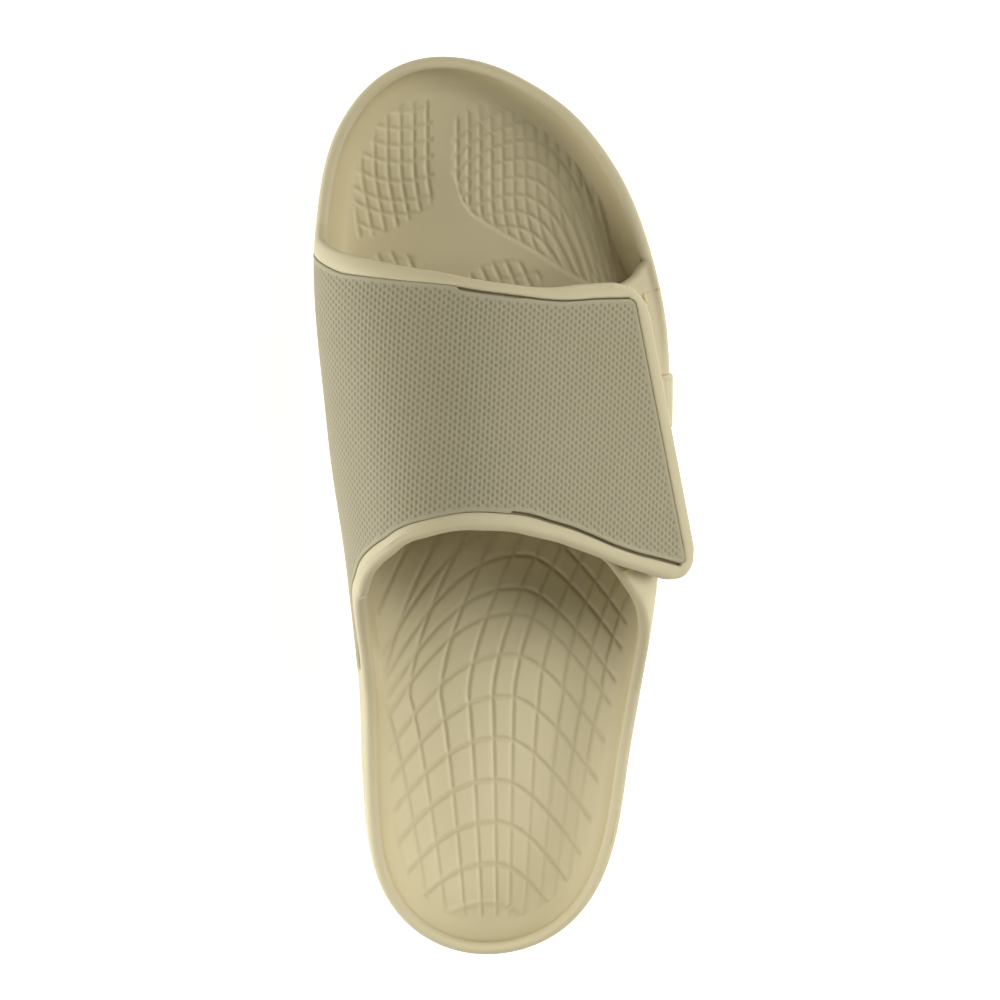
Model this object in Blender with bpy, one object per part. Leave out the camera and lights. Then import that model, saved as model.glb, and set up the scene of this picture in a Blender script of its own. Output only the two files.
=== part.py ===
"""Open-toe slide sandal for the right foot, with a strap that closes over a lateral wing.

X runs to the lateral side, Y to the toe, Z up.  Lengths are millimetres until a mesh is made.
"""
import math

import bmesh
import bpy
import numpy as np

for old in list(bpy.data.objects):
    bpy.data.objects.remove(old, do_unlink=True)

MM = 0.001

# Main sizes
LENGTH = 287.0
BALL_WIDTH = 114.0
RIM_HEIGHT = 42.0
WALL = 4.0
GAP = 0.3
SEAM_GAP = 0.5

# Strap
CROWN_X = -17.5
CROWN_FRONT = 75.0
CROWN_BACK = 93.5
CROWN_FRONT_Y = 0.2439 * LENGTH
CROWN_BACK_Y = -0.0279 * LENGTH
RAMP_RADIUS = 30.0
RAMP_SLOPE_FRONT = 0.66
RAMP_SLOPE_BACK = 0.80
FLAP_END_X = 51.5
FLAP_END_SLANT = 0.191
FLAP_END_Y = 0.0976 * LENGTH
CORNER = 9.0

# Panel, pads and wing
FRAME = 3.2
RECESS = 1.5
PANEL_PROUD = 0.2
PAD = 1.2
WING_DROP = WALL + 2.0 * PAD + 3.0 * GAP + 0.25
WING_END_X = 11.0
SHOULDER = 8.0

# Sole
LUG_GROOVE = 3.4
LUG_DEPTH = 3.0
GROUND_TUCK = 5.0

# Outline: along of LENGTH from the heel, medial and lateral x of BALL_WIDTH
OUTLINE = (
    (0.015, -0.2035, 0.1165),
    (0.060, -0.3270, 0.2455),
    (0.100, -0.3700, 0.2965),
    (0.160, -0.3930, 0.3340),
    (0.220, -0.4020, 0.3560),
    (0.300, -0.4090, 0.3910),
    (0.380, -0.4280, 0.4235),
    (0.460, -0.4520, 0.4465),
    (0.540, -0.4825, 0.4615),
    (0.620, -0.5035, 0.4675),
    (0.700, -0.5240, 0.4590),
    (0.780, -0.5315, 0.4165),
    (0.850, -0.5165, 0.3525),
    (0.900, -0.4870, 0.2765),
    (0.940, -0.4370, 0.1870),
    (0.970, -0.3720, 0.0800),
    (0.990, -0.2930, -0.0265),
)
HEEL_TIP = -0.0465
TOE_TIP = -0.1700

# Heights of RIM_HEIGHT: along, ground, seam, footbed middle, footbed edge medial and
# lateral, rim medial and lateral
HEIGHTS = (
    (0.00, 0.095, 0.56, 0.645, 0.800, 0.800, 0.990, 0.990),
    (0.06, 0.010, 0.56, 0.630, 0.785, 0.785, 0.990, 0.990),
    (0.12, 0.000, 0.56, 0.620, 0.780, 0.775, 1.000, 0.985),
    (0.28, 0.000, 0.56, 0.640, 0.800, 0.770, 1.020, 0.985),
    (0.36, 0.020, 0.55, 0.650, 0.810, 0.765, 1.045, 1.010),
    (0.46, 0.060, 0.53, 0.620, 0.790, 0.740, 1.060, 1.045),
    (0.55, 0.022, 0.50, 0.560, 0.720, 0.685, 1.050, 0.985),
    (0.62, 0.000, 0.48, 0.515, 0.650, 0.625, 1.025, 0.945),
    (0.73, 0.000, 0.48, 0.490, 0.610, 0.597, 0.985, 0.930),
    (0.79, 0.012, 0.48, 0.490, 0.600, 0.590, 0.960, 0.930),
    (0.88, 0.085, 0.52, 0.530, 0.620, 0.610, 0.945, 0.935),
    (1.00, 0.290, 0.62, 0.640, 0.700, 0.700, 0.960, 0.960),
)

# Wall, of WALL: along, outer lean at the rim medial and lateral, inner foot run
WALLS = (
    (0.000, 0.2000, 0.2000, 1.3750),
    (0.100, 0.3000, 0.2000, 1.1250),
    (0.280, 0.5500, 0.2000, 0.8750),
    (0.450, 0.3000, 0.1500, 0.6250),
    (0.700, 0.1250, 0.1000, 0.6250),
    (0.880, 0.1250, 0.1000, 1.0000),
    (1.000, 0.1500, 0.1500, 1.5000),
)

# Strap edges: share of the strap's run, front y and back y of LENGTH
STRAP_EDGES = (
    (0.000, 0.3188, -0.2230),
    (0.020, 0.3031, -0.1655),
    (0.050, 0.2927, -0.1272),
    (0.100, 0.2850, -0.0993),
    (0.150, 0.2787, -0.0854),
    (0.210, 0.2718, -0.0645),
    (0.310, 0.2634, -0.0446),
    (0.410, 0.2551, -0.0314),
    (0.500, 0.2495, -0.0265),
    (0.610, 0.2425, -0.0317),
    (0.680, 0.2401, -0.0408),
    (0.760, 0.2390, -0.0544),
    (0.840, 0.2411, -0.0672),
    (0.920, 0.2439, -0.0794),
    (1.000, 0.2446, -0.0850),
)

# Wing edges: share of the wing's run, front y and back y of LENGTH
WING_EDGES = (
    (0.000, 0.2997, -0.2091),
    (0.060, 0.2805, -0.1742),
    (0.140, 0.2648, -0.1429),
    (0.240, 0.2526, -0.1132),
    (0.360, 0.2446, -0.0854),
    (0.500, 0.2397, -0.0610),
    (0.750, 0.2334, -0.0401),
    (1.000, 0.2265, -0.0314),
)


def hermite(x, xs, ys):
    """Smooth curve through the rows of a table, flat outside it."""
    xs = np.asarray(xs, float)
    ys = np.asarray(ys, float)
    x = np.clip(np.asarray(x, float), xs[0], xs[-1])
    steps = np.diff(xs)
    slopes = np.diff(ys) / steps
    tangents = np.empty_like(ys)
    tangents[0] = slopes[0]
    tangents[-1] = slopes[-1]
    same = slopes[1:] * slopes[:-1] > 0
    mean = 2 * slopes[1:] * slopes[:-1] / np.where(same, slopes[1:] + slopes[:-1], 1.0)
    tangents[1:-1] = np.where(same, mean, 0.0)
    i = np.clip(np.searchsorted(xs, x, side="right") - 1, 0, len(steps) - 1)
    t = (x - xs[i]) / steps[i]
    a = (1 + 2 * t) * (1 - t) ** 2
    b = t * (1 - t) ** 2
    c = t * t * (3 - 2 * t)
    d = t * t * (t - 1)
    return a * ys[i] + b * steps[i] * tangents[i] + c * ys[i + 1] + d * steps[i] * tangents[i + 1]


def closed_spline(knots, values, period):
    """Second derivatives of the closed cubic spline through values at knots."""
    n = len(knots)
    steps = np.diff(np.append(knots, knots[0] + period))
    rows = np.zeros((n, n))
    right = np.zeros(n)
    for i in range(n):
        before = (i - 1) % n
        after = (i + 1) % n
        rows[i, before] += steps[before]
        rows[i, i] += 2 * (steps[before] + steps[i])
        rows[i, after] += steps[i]
        rise = (values[after] - values[i]) / steps[i]
        rows_before = (values[i] - values[before]) / steps[before]
        right[i] = 6 * (rise - rows_before)
    return steps, np.linalg.solve(rows, right)


def turn_of(along):
    """Angle round the outline of a share along the length, lateral side."""
    return np.arccos(1 - 2 * np.asarray(along, float))


_rows = np.array(OUTLINE)
_turns = turn_of(_rows[:, 0])
KNOTS = np.concatenate([[0.0], _turns, [math.pi], 2 * math.pi - _turns[::-1]])
VALUES = np.concatenate([[HEEL_TIP], _rows[:, 2], [TOE_TIP], _rows[::-1, 1]]) * BALL_WIDTH
STEPS, BENDS = closed_spline(KNOTS, VALUES, 2 * math.pi)


def outline(turn):
    """Widest outline: x from the closed spline, y = -cos(turn) LENGTH / 2."""
    turn = np.mod(np.asarray(turn, float), 2 * math.pi)
    i = np.searchsorted(KNOTS, turn, side="right") - 1
    j = (i + 1) % len(KNOTS)
    h = STEPS[i]
    t = turn - KNOTS[i]
    r = h - t
    x = (BENDS[i] * r ** 3 + BENDS[j] * t ** 3) / (6 * h)
    x = x + (VALUES[i] / h - BENDS[i] * h / 6) * r + (VALUES[j] / h - BENDS[j] * h / 6) * t
    return np.stack([x, -np.cos(turn) * LENGTH / 2], -1)


def inward(turn):
    """Unit normal of the outline pointing into the shoe."""
    step = 1e-3
    d = outline(turn + step) - outline(turn - step)
    d = d / np.linalg.norm(d, axis=-1, keepdims=True)
    return np.stack([-d[..., 1], d[..., 0]], -1)


def along_of(turn):
    return (1 - np.cos(turn)) / 2


def turn_at(y, lateral):
    """Angle round the outline at y on the given side."""
    turn = np.arccos(np.clip(-2 * np.asarray(y, float) / LENGTH, -1, 1))
    return turn if lateral else 2 * math.pi - turn


def sided(table, medial, lateral, turn):
    """Table value that blends between its medial and lateral columns."""
    rows = np.array(table)
    along = along_of(turn)
    share = 0.5 + 0.5 * np.clip(np.sin(turn) / 0.35, -1, 1)
    share = share * share * (3 - 2 * share)
    m = hermite(along, rows[:, 0], rows[:, medial])
    n = hermite(along, rows[:, 0], rows[:, lateral])
    return m * (1 - share) + n * share


def ground(turn):
    return sided(HEIGHTS, 1, 1, turn) * RIM_HEIGHT


def seam(turn):
    return sided(HEIGHTS, 2, 2, turn) * RIM_HEIGHT


def middle(y):
    rows = np.array(HEIGHTS)
    return hermite(0.5 + np.asarray(y) / LENGTH, rows[:, 0], rows[:, 3]) * RIM_HEIGHT


def bed_edge(turn):
    return sided(HEIGHTS, 4, 5, turn) * RIM_HEIGHT


def rim(turn):
    """Height of the rim's skins; the rounded edge rises WALL / 2 more."""
    return sided(HEIGHTS, 6, 7, turn) * RIM_HEIGHT - WALL / 2


def lean(turn):
    return sided(WALLS, 1, 2, turn) * WALL


def foot_run(turn):
    return sided(WALLS, 3, 3, turn) * WALL


def wall_point(turn, z, depth):
    """Point of the rim wall at height z, depth in from its outer face.

    The outer face leans in from the outline by lean(turn) between the seam and the rim.
    """
    low = seam(turn)
    share = np.clip((z - low) / (rim(turn) - low), 0, 1.3)
    inset = 0.2 + (lean(turn) - 0.2) * share ** 1.6 + depth
    xy = outline(turn) + inward(turn) * inset[..., None]
    return np.concatenate([xy, np.asarray(z)[..., None] + 0 * inset[..., None]], -1)


def crown(y):
    share = (CROWN_FRONT_Y - y) / (CROWN_FRONT_Y - CROWN_BACK_Y)
    share = np.where(share > 1, 1 + 0.12 * np.tanh((share - 1) / 0.25), share)
    return CROWN_FRONT + (CROWN_BACK - CROWN_FRONT) * share


def ramp_slope(y):
    share = np.clip((CROWN_FRONT_Y - y) / (CROWN_FRONT_Y - CROWN_BACK_Y), -0.2, 1.2)
    return RAMP_SLOPE_FRONT + (RAMP_SLOPE_BACK - RAMP_SLOPE_FRONT) * share


def ramp_z(x, y):
    """Lateral fall of the strap: a hyperbola from the crown."""
    dx = (x - CROWN_X) / RAMP_RADIUS
    return crown(y) - ramp_slope(y) * RAMP_RADIUS * (np.sqrt(1 + dx * dx) - 1)


def medial_base(y):
    turn = turn_at(y, False)
    p = wall_point(turn, rim(turn), np.zeros_like(np.asarray(y, float)))
    return p[..., 0], p[..., 2]


def flap_end_x(y):
    return FLAP_END_X + (FLAP_END_Y - y) * FLAP_END_SLANT


def strap_lines(y):
    """Section of the strap across the foot: wall, quarter ellipse, hyperbola."""
    y = np.asarray(y, float)[..., None]
    base_x, base_z = medial_base(y)
    rise = 2.0
    q = np.linspace(0, 1, 70) * math.pi / 2
    ex = CROWN_X - (CROWN_X - base_x) * np.cos(q)
    ez = base_z + rise + (crown(y) - base_z - rise) * np.sin(q)
    hx = CROWN_X + np.linspace(0, 1, 70)[1:] * (flap_end_x(y) + 1.5 * WALL - CROWN_X)
    hz = ramp_z(hx, y)
    x = np.concatenate([base_x + 0 * y, ex, hx], -1)
    z = np.concatenate([base_z + 0 * y, ez, hz], -1)
    run = np.cumsum(np.hypot(np.diff(x, axis=-1), np.diff(z, axis=-1)), -1)
    run = np.concatenate([np.zeros(run.shape[:-1] + (1,)), run], -1)
    return x, z, run


def follow(lines, w):
    """Point of each section line at run w."""
    x, z, run = lines
    w = np.asarray(w, float)[..., None]
    i = np.clip((run < w).sum(-1, keepdims=True) - 1, 0, run.shape[-1] - 2)
    r0 = np.take_along_axis(run, i, -1)
    r1 = np.take_along_axis(run, i + 1, -1)
    t = (w - r0) / (r1 - r0)
    px = np.take_along_axis(x, i, -1) * (1 - t) + np.take_along_axis(x, i + 1, -1) * t
    pz = np.take_along_axis(z, i, -1) * (1 - t) + np.take_along_axis(z, i + 1, -1) * t
    return px[..., 0], pz[..., 0]


def strap_end(y):
    """Run of the strap from the medial rim to its end at x = flap_end_x(y)."""
    x, z, run = strap_lines(y)
    end = flap_end_x(np.asarray(y, float))[..., None]
    i = np.clip((x < end).sum(-1, keepdims=True) - 1, 0, run.shape[-1] - 2)
    x0 = np.take_along_axis(x, i, -1)
    x1 = np.take_along_axis(x, i + 1, -1)
    t = (end - x0) / (x1 - x0)
    r0 = np.take_along_axis(run, i, -1)
    r1 = np.take_along_axis(run, i + 1, -1)
    return (r0 + (r1 - r0) * t)[..., 0]


def strap_face(y, w):
    """Outer face of the strap; below w = 0 it is the medial wall."""
    y, w = np.broadcast_arrays(np.asarray(y, float), np.asarray(w, float))
    px, pz = follow(strap_lines(y), np.maximum(w, 0))
    top = np.stack([px, y, pz], -1)
    turn = turn_at(y, False)
    low = wall_point(turn, rim(turn) + np.minimum(w, 0), np.zeros_like(w))
    return np.where(w[..., None] > 0, top, low)


def wing_lines(y):
    """Section of the wing: lateral wall, rounded shoulder, ramp under the strap."""
    y = np.asarray(y, float)[..., None]
    turn = turn_at(y, True)
    base = wall_point(turn, rim(turn), np.zeros_like(y))
    base_x = base[..., 0]
    base_z = base[..., 2]
    slope = ramp_slope(y)
    hx = np.linspace(0, 1, 90) * (base_x + 3.5 * WALL - WING_END_X + 2 * WALL) + WING_END_X - 2 * WALL
    hz = ramp_z(hx, y)
    dx = (hx - CROWN_X) / RAMP_RADIUS
    fall = -slope * dx / np.sqrt(1 + dx * dx)
    norm = np.sqrt(1 + fall * fall)
    ox = hx + fall * WING_DROP / norm
    oz = hz - WING_DROP / norm
    i = np.clip((ox < base_x).sum(-1, keepdims=True) - 1, 0, ox.shape[-1] - 2)
    x0 = np.take_along_axis(ox, i, -1)
    x1 = np.take_along_axis(ox, i + 1, -1)
    t = (base_x - x0) / (x1 - x0)
    corner = np.take_along_axis(oz, i, -1) * (1 - t) + np.take_along_axis(oz, i + 1, -1) * t
    corner = np.maximum(corner, base_z + 3.0)
    reach = np.minimum(SHOULDER, corner - base_z)
    bx = base_x - reach / np.sqrt(1 + slope ** 2)
    j = np.clip((ox < bx).sum(-1, keepdims=True) - 1, 0, ox.shape[-1] - 2)
    x0 = np.take_along_axis(ox, j, -1)
    x1 = np.take_along_axis(ox, j + 1, -1)
    t = (bx - x0) / (x1 - x0)
    bz = np.take_along_axis(oz, j, -1) * (1 - t) + np.take_along_axis(oz, j + 1, -1) * t
    s = np.linspace(0, 1, 20)
    cx = (1 - s) ** 2 * base_x + 2 * s * (1 - s) * base_x + s * s * bx
    cz = (1 - s) ** 2 * (corner - reach) + 2 * s * (1 - s) * corner + s * s * bz
    k = np.linspace(0, 1, 60)[1:]
    rx = bx + k * (WING_END_X - 1.5 * WALL - bx)
    flat_x = ox.reshape(-1, ox.shape[-1])
    flat_z = oz.reshape(-1, oz.shape[-1])
    flat_r = rx.reshape(-1, rx.shape[-1])
    rz = np.stack([np.interp(a, b, c) for a, b, c in zip(flat_r, flat_x, flat_z)])
    rz = rz.reshape(rx.shape)
    x = np.concatenate([base_x, cx, rx], -1)
    z = np.concatenate([base_z, cz, rz], -1)
    z = np.maximum.accumulate(z + np.arange(z.shape[-1]) * 1e-6, -1)
    run = np.cumsum(np.hypot(np.diff(x, axis=-1), np.diff(z, axis=-1)) + 1e-7, -1)
    run = np.concatenate([np.zeros(run.shape[:-1] + (1,)), run], -1)
    return x, z, run


def wing_end(y):
    x, z, run = wing_lines(y)
    i = np.clip((x > WING_END_X).sum(-1, keepdims=True) - 1, 0, run.shape[-1] - 2)
    return np.take_along_axis(run, i, -1)[..., 0]


def wing_face(y, w):
    """Outer face of the wing; below w = 0 it is the lateral wall."""
    y, w = np.broadcast_arrays(np.asarray(y, float), np.asarray(w, float))
    px, pz = follow(wing_lines(y), np.maximum(w, 0))
    top = np.stack([px, y, pz], -1)
    turn = turn_at(y, True)
    low = wall_point(turn, rim(turn) + np.minimum(w, 0), np.zeros_like(w))
    return np.where(w[..., None] > 0, top, low)


def sunk(face, y, w, depth, flip):
    """Point at depth under a face, along its normal."""
    y, w = np.broadcast_arrays(np.asarray(y, float), np.asarray(w, float))
    h = 0.6
    dy = face(y + h, w) - face(y - h, w)
    dw = face(y, w + h) - face(y, w - h)
    n = np.cross(dy, dw) * flip
    n = n / np.linalg.norm(n, axis=-1, keepdims=True)
    return face(y, w) - n * np.asarray(depth)[..., None]


def strap_point(y, w, depth):
    return sunk(strap_face, y, w, depth + 0 * np.asarray(y, float), -1)


def wing_point(y, w, depth):
    return sunk(wing_face, y, w, depth + 0 * np.asarray(y, float), 1)


def grid(points):
    """Quads of a rows by columns grid."""
    rows, cols = points.shape[:2]
    idx = np.arange(rows * cols).reshape(rows, cols)
    quads = np.stack([idx[:-1, :-1], idx[:-1, 1:], idx[1:, 1:], idx[1:, :-1]], -1)
    return points.reshape(-1, 3), quads.reshape(-1, 4)


def material(name, colour, roughness):
    mat = bpy.data.materials.new(name)
    mat.use_nodes = True
    shader = mat.node_tree.nodes["Principled BSDF"]
    shader.inputs["Base Color"].default_value = (*colour, 1.0)
    shader.inputs["Roughness"].default_value = roughness
    return mat


def solid(name, patches, mat):
    """Weld grids into one closed body that faces outward."""
    mesh = bpy.data.meshes.new(name)
    verts = []
    faces = []
    start = 0
    for points in patches:
        p, q = grid(points)
        verts.append(p * MM)
        faces.append(q + start)
        start += len(p)
    mesh.from_pydata(np.concatenate(verts).tolist(), [], np.concatenate(faces).tolist())
    body = bmesh.new()
    body.from_mesh(mesh)
    bmesh.ops.remove_doubles(body, verts=body.verts, dist=2e-6)
    bmesh.ops.dissolve_degenerate(body, edges=body.edges, dist=1e-6)
    bmesh.ops.recalc_face_normals(body, faces=body.faces)
    bmesh.ops.triangulate(body, faces=body.faces)
    if body.calc_volume(signed=True) < 0:
        bmesh.ops.reverse_faces(body, faces=body.faces)
    body.to_mesh(mesh)
    body.free()
    for polygon in mesh.polygons:
        polygon.use_smooth = True
    mesh.materials.append(mat)
    obj = bpy.data.objects.new(name, mesh)
    bpy.context.scene.collection.objects.link(obj)
    return obj


# Strap columns: the frame's offsets in from each edge, then shares between them
FRAME_STEPS = np.array([0.0, 1.2, FRAME, FRAME + 0.4])
PANEL_SHARES = np.linspace(0, 1, 11)
END_STEPS = np.array([FRAME + 0.4, FRAME, 1.2, 0.0])


def strap_table(share):
    rows = np.array(STRAP_EDGES)
    front = hermite(share, rows[:, 0], rows[:, 1]) * LENGTH - WALL / 2
    back = hermite(share, rows[:, 0], rows[:, 2]) * LENGTH + WALL / 2
    return front, back


def strap_columns(share, first):
    """y of every column at a share of the run; first is the panel's distance to the edge."""
    front, back = strap_table(share)
    front = np.asarray(front)[..., None]
    back = np.asarray(back)[..., None]
    lead = front - FRAME_STEPS[:-1]
    tail = back + FRAME_STEPS[:-1][::-1]
    inner = (front - first) + PANEL_SHARES * ((back + first) - (front - first))
    return lead, inner, tail


def corner_pull(y, front, back):
    """How far the flap's end draws back near its rounded corners."""
    near = np.minimum(front - y, y - back)
    near = np.clip(near, 0, CORNER)
    return CORNER - np.sqrt(np.maximum(CORNER ** 2 - (CORNER - near) ** 2, 0))


STRAP_SHARES = np.array([0, 0.018, 0.04, 0.07, 0.105, 0.145, 0.19, 0.24, 0.29, 0.34, 0.39, 0.44,
                         0.49, 0.55, 0.61, 0.67, 0.73, 0.79, 0.85, 0.91, 0.965])


def strap_rows(y_of_share, end_inset):
    """Runs of the strap rows; y_of_share gives the columns of a share."""
    out_y = []
    out_w = []
    for share in STRAP_SHARES:
        y = y_of_share(share)
        front, back = strap_table(share)
        w = share * (strap_end(y) - corner_pull(y, front, back) - end_inset)
        out_y.append(y)
        out_w.append(w)
    return out_y, out_w


def body_columns(share):
    lead, inner, tail = strap_columns(share, FRAME_STEPS[-1])
    return np.concatenate([lead, inner, tail], -1)


def panel_columns(share):
    lead, inner, tail = strap_columns(share, FRAME_STEPS[-1] + GAP)
    return inner


rows_y, rows_w = strap_rows(body_columns, FRAME + 0.4)
front1, back1 = strap_table(1.0)
end_y = body_columns(1.0)
for inset in END_STEPS:
    rows_y.append(end_y)
    rows_w.append(strap_end(end_y) - corner_pull(end_y, front1, back1) - inset)
STRAP_Y = np.array(rows_y)
STRAP_W = np.array(rows_w)
N_COLS = STRAP_Y.shape[1]
FIRST = len(FRAME_STEPS) - 1
LAST = N_COLS - len(FRAME_STEPS)
N_LOW = len(STRAP_SHARES)

sunk_cells = np.zeros(STRAP_Y.shape)
sunk_cells[:N_LOW + 1, FIRST:LAST + 1] = RECESS

strap_outer = strap_point(STRAP_Y, STRAP_W, sunk_cells)
strap_inner = strap_point(STRAP_Y, STRAP_W, np.full(STRAP_Y.shape, WALL))

# Wing grid
WING_SHARES = np.array([0, 0.03, 0.07, 0.12, 0.18, 0.25, 0.33, 0.42, 0.52, 0.63, 0.75, 0.87, 0.95, 1.0])
WING_COLUMNS = np.array([0, 0.015, 0.05, 0.12, 0.22, 0.34, 0.46, 0.58, 0.7, 0.8, 0.88, 0.95, 0.985, 1])
rows = np.array(WING_EDGES)
wf = hermite(WING_SHARES, rows[:, 0], rows[:, 1])[:, None] * LENGTH - WALL / 2
wb = hermite(WING_SHARES, rows[:, 0], rows[:, 2])[:, None] * LENGTH + WALL / 2
WING_Y = wf + WING_COLUMNS * (wb - wf)
near = np.clip(np.minimum(wf - WING_Y, WING_Y - wb), 0, CORNER)
pull = CORNER - np.sqrt(np.maximum(CORNER ** 2 - (CORNER - near) ** 2, 0))
WING_W = WING_SHARES[:, None] * (wing_end(WING_Y) - pull)
wing_outer = wing_point(WING_Y, WING_W, np.zeros(WING_Y.shape))
wing_inner = wing_point(WING_Y, WING_W, np.full(WING_Y.shape, WALL))

# Ring stations round the shoe: toe, strap columns, heel, wing columns
medial_turns = turn_at(STRAP_Y[0], False)
lateral_turns = turn_at(WING_Y[0], True)
toe_turns = np.linspace(lateral_turns[0], medial_turns[0], 26)[1:-1]
heel_turns = np.linspace(medial_turns[-1], lateral_turns[-1] + 2 * math.pi, 24)[1:-1]
turns = np.concatenate([lateral_turns[::-1], toe_turns, medial_turns, heel_turns])
is_medial = np.zeros(len(turns), bool)
m0 = len(lateral_turns) + len(toe_turns)
is_medial[m0:m0 + N_COLS] = True

PANEL_LOW = 5.0
low_z = seam(turns)
top_z = rim(turns)
z_rows = [low_z, low_z + PANEL_LOW, low_z + PANEL_LOW + 0.4]
for share in (0.25, 0.5, 0.75, 1.0):
    z_rows.append(z_rows[2] + (top_z - z_rows[2]) * share)
z_rows = np.array(z_rows)
ring_depth = np.zeros(z_rows.shape)
ring_depth[2:, m0 + FIRST:m0 + LAST + 1] = RECESS


def ring_points(depth):
    w = z_rows - top_z
    shape = z_rows.shape
    all_turns = np.broadcast_to(turns, shape)
    out = wall_point(all_turns, z_rows, depth)
    m = slice(m0, m0 + N_COLS)
    y = np.broadcast_to(STRAP_Y[0], (shape[0], N_COLS))
    out[:, m] = strap_point(y, w[:, m], depth[:, m])
    out[-1, m] = strap_point(STRAP_Y[0], STRAP_W[0], depth[-1, m])
    n = slice(0, len(lateral_turns))
    y = np.broadcast_to(WING_Y[0][::-1], (shape[0], len(lateral_turns)))
    out[:, n] = wing_point(y, w[:, n], depth[:, n])
    return out


foot = foot_run(turns)
inner_low = bed_edge(turns)
ring_outer = ring_points(ring_depth)
inner_rows = []
for s in (0.0, 0.25, 0.5, 0.75, 1.0):
    z = inner_low + (top_z - inner_low) * s
    inner_rows.append((z, WALL + foot * (1 - s) ** 2))
ring_inner = np.array([wall_point(turns, z, d) for z, d in inner_rows])
ring_inner[-1, m0:m0 + N_COLS] = strap_inner[0]
ring_inner[-1, :len(lateral_turns)] = wing_inner[0][::-1]


def closed(points):
    return np.concatenate([points, points[:, :1]], 1)


# Boundary loop of the skins, walked round the shoe
loop_outer = np.concatenate([
    wing_outer[0, -1:], wing_outer[1:, -1], wing_outer[-1, -2:0:-1], wing_outer[::-1, 0],
    ring_outer[-1, len(lateral_turns):m0],
    strap_outer[:, 0], strap_outer[-1, 1:-1], strap_outer[::-1, -1],
    ring_outer[-1, m0 + N_COLS:],
])
loop_inner = np.concatenate([
    wing_inner[0, -1:], wing_inner[1:, -1], wing_inner[-1, -2:0:-1], wing_inner[::-1, 0],
    ring_inner[-1, len(lateral_turns):m0],
    strap_inner[:, 0], strap_inner[-1, 1:-1], strap_inner[::-1, -1],
    ring_inner[-1, m0 + N_COLS:],
])


def round_edge(outer, inner, segments):
    """Half-round strip that closes the wall along its free edge."""
    mid = (outer + inner) / 2
    tangent = np.roll(mid, -1, 0) - np.roll(mid, 1, 0)
    across = (outer - inner) / 2
    away = np.cross(tangent, across)
    away = away / np.linalg.norm(away, axis=-1, keepdims=True)
    size = np.linalg.norm(across, axis=-1, keepdims=True)
    out = []
    for k in range(segments + 1):
        a = math.pi * k / segments
        out.append(mid + across * math.cos(a) + away * size * math.sin(a))
    return np.array(out)


edge = round_edge(loop_outer, loop_inner, 4)
base = np.array([ring_outer[0], ring_inner[0]])

foam = material("foam_upper", (0.50, 0.46, 0.33), 0.62)
upper = solid("upper", [closed(ring_outer), closed(ring_inner), closed(base), strap_outer,
                        strap_inner, wing_outer, wing_inner, closed(edge)], foam)


def slab(face, y, w, near, far):
    """Grids of a thin closed piece between two depths under a face."""
    a = face(y, w, np.full(y.shape, near))
    b = face(y, w, np.full(y.shape, far))
    sides = [np.array([a[0], b[0]]), np.array([a[-1], b[-1]])]
    sides += [np.array([a[:, 0], b[:, 0]]), np.array([a[:, -1], b[:, -1]])]
    return [a, b] + sides


# Textured panel in the recess, from the medial wall to the flap's end
rows_y, rows_w = strap_rows(panel_columns, FRAME + 0.4 + GAP)
rows_y.append(panel_columns(1.0))
rows_w.append(strap_end(rows_y[-1]) - corner_pull(rows_y[-1], front1, back1) - FRAME - 0.4 - GAP)
low_turn = turn_at(rows_y[0], False)
lowest = seam(low_turn) + PANEL_LOW + 0.4 - rim(low_turn)
for share in (0.75, 0.5, 0.25, 0.0):
    lift = GAP if share == 0.0 else 0.0
    rows_y.insert(0, panel_columns(0.0))
    rows_w.insert(0, lowest * (1 - share) + lift)
panel = solid("strap_panel", slab(strap_point, np.array(rows_y), np.array(rows_w),
                                  -PANEL_PROUD, RECESS - GAP),
              material("panel_foam", (0.42, 0.38, 0.24), 0.58))

# Fastening pads between the flap and the wing
PAD_X = (0.1316 * BALL_WIDTH, 0.386 * BALL_WIDTH)
LOOP_LAST_X = 0.342 * BALL_WIDTH
PAD_FRONT_Y = 0.216 * LENGTH
HOOK_BACK_Y = -0.0314 * LENGTH
LOOP_BACK_Y = -0.0244 * LENGTH


def run_at(y, x):
    """Run of the strap at a given x."""
    lx, lz, run = strap_lines(y)
    flat_x = lx.reshape(-1, lx.shape[-1])
    flat_r = run.reshape(-1, run.shape[-1])
    at = np.broadcast_to(x, np.shape(y)).reshape(-1)
    return np.array([np.interp(a, b, c) for a, b, c in zip(at, flat_x, flat_r)]).reshape(np.shape(y))


def pad(name, x_last, front_y, back_y, near, mat):
    x = np.linspace(PAD_X[0], x_last, 8)[:, None]
    y = np.linspace(front_y, back_y, 11)[None] + 0 * x
    w = run_at(y, x + 0 * y)
    return solid(name, slab(strap_point, y, w, near, near + PAD), mat)


hook = pad("hook_pad", PAD_X[1], PAD_FRONT_Y, HOOK_BACK_Y, WALL + GAP,
           material("hook_nylon", (0.48, 0.40, 0.20), 0.8))
loop = pad("loop_pad", LOOP_LAST_X, PAD_FRONT_Y, LOOP_BACK_Y, WALL + PAD + 2 * GAP,
           material("loop_nylon", (0.45, 0.41, 0.28), 0.9))

# Plain plaque on the lateral wall
BADGE_Y = 0.1167 * LENGTH
BADGE_LONG = 17.0
BADGE_TALL = 13.0
BADGE_THICK = 0.9
y = BADGE_Y + np.linspace(0.5, -0.5, 6)[None] * BADGE_LONG + np.zeros((7, 1))
w = np.linspace(-0.46, 0.54, 7)[:, None] * BADGE_TALL + 0 * y
badge = solid("side_badge", slab(wing_point, y, w, -GAP, -GAP - BADGE_THICK),
              material("badge_foam", (0.50, 0.46, 0.33), 0.5))

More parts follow.
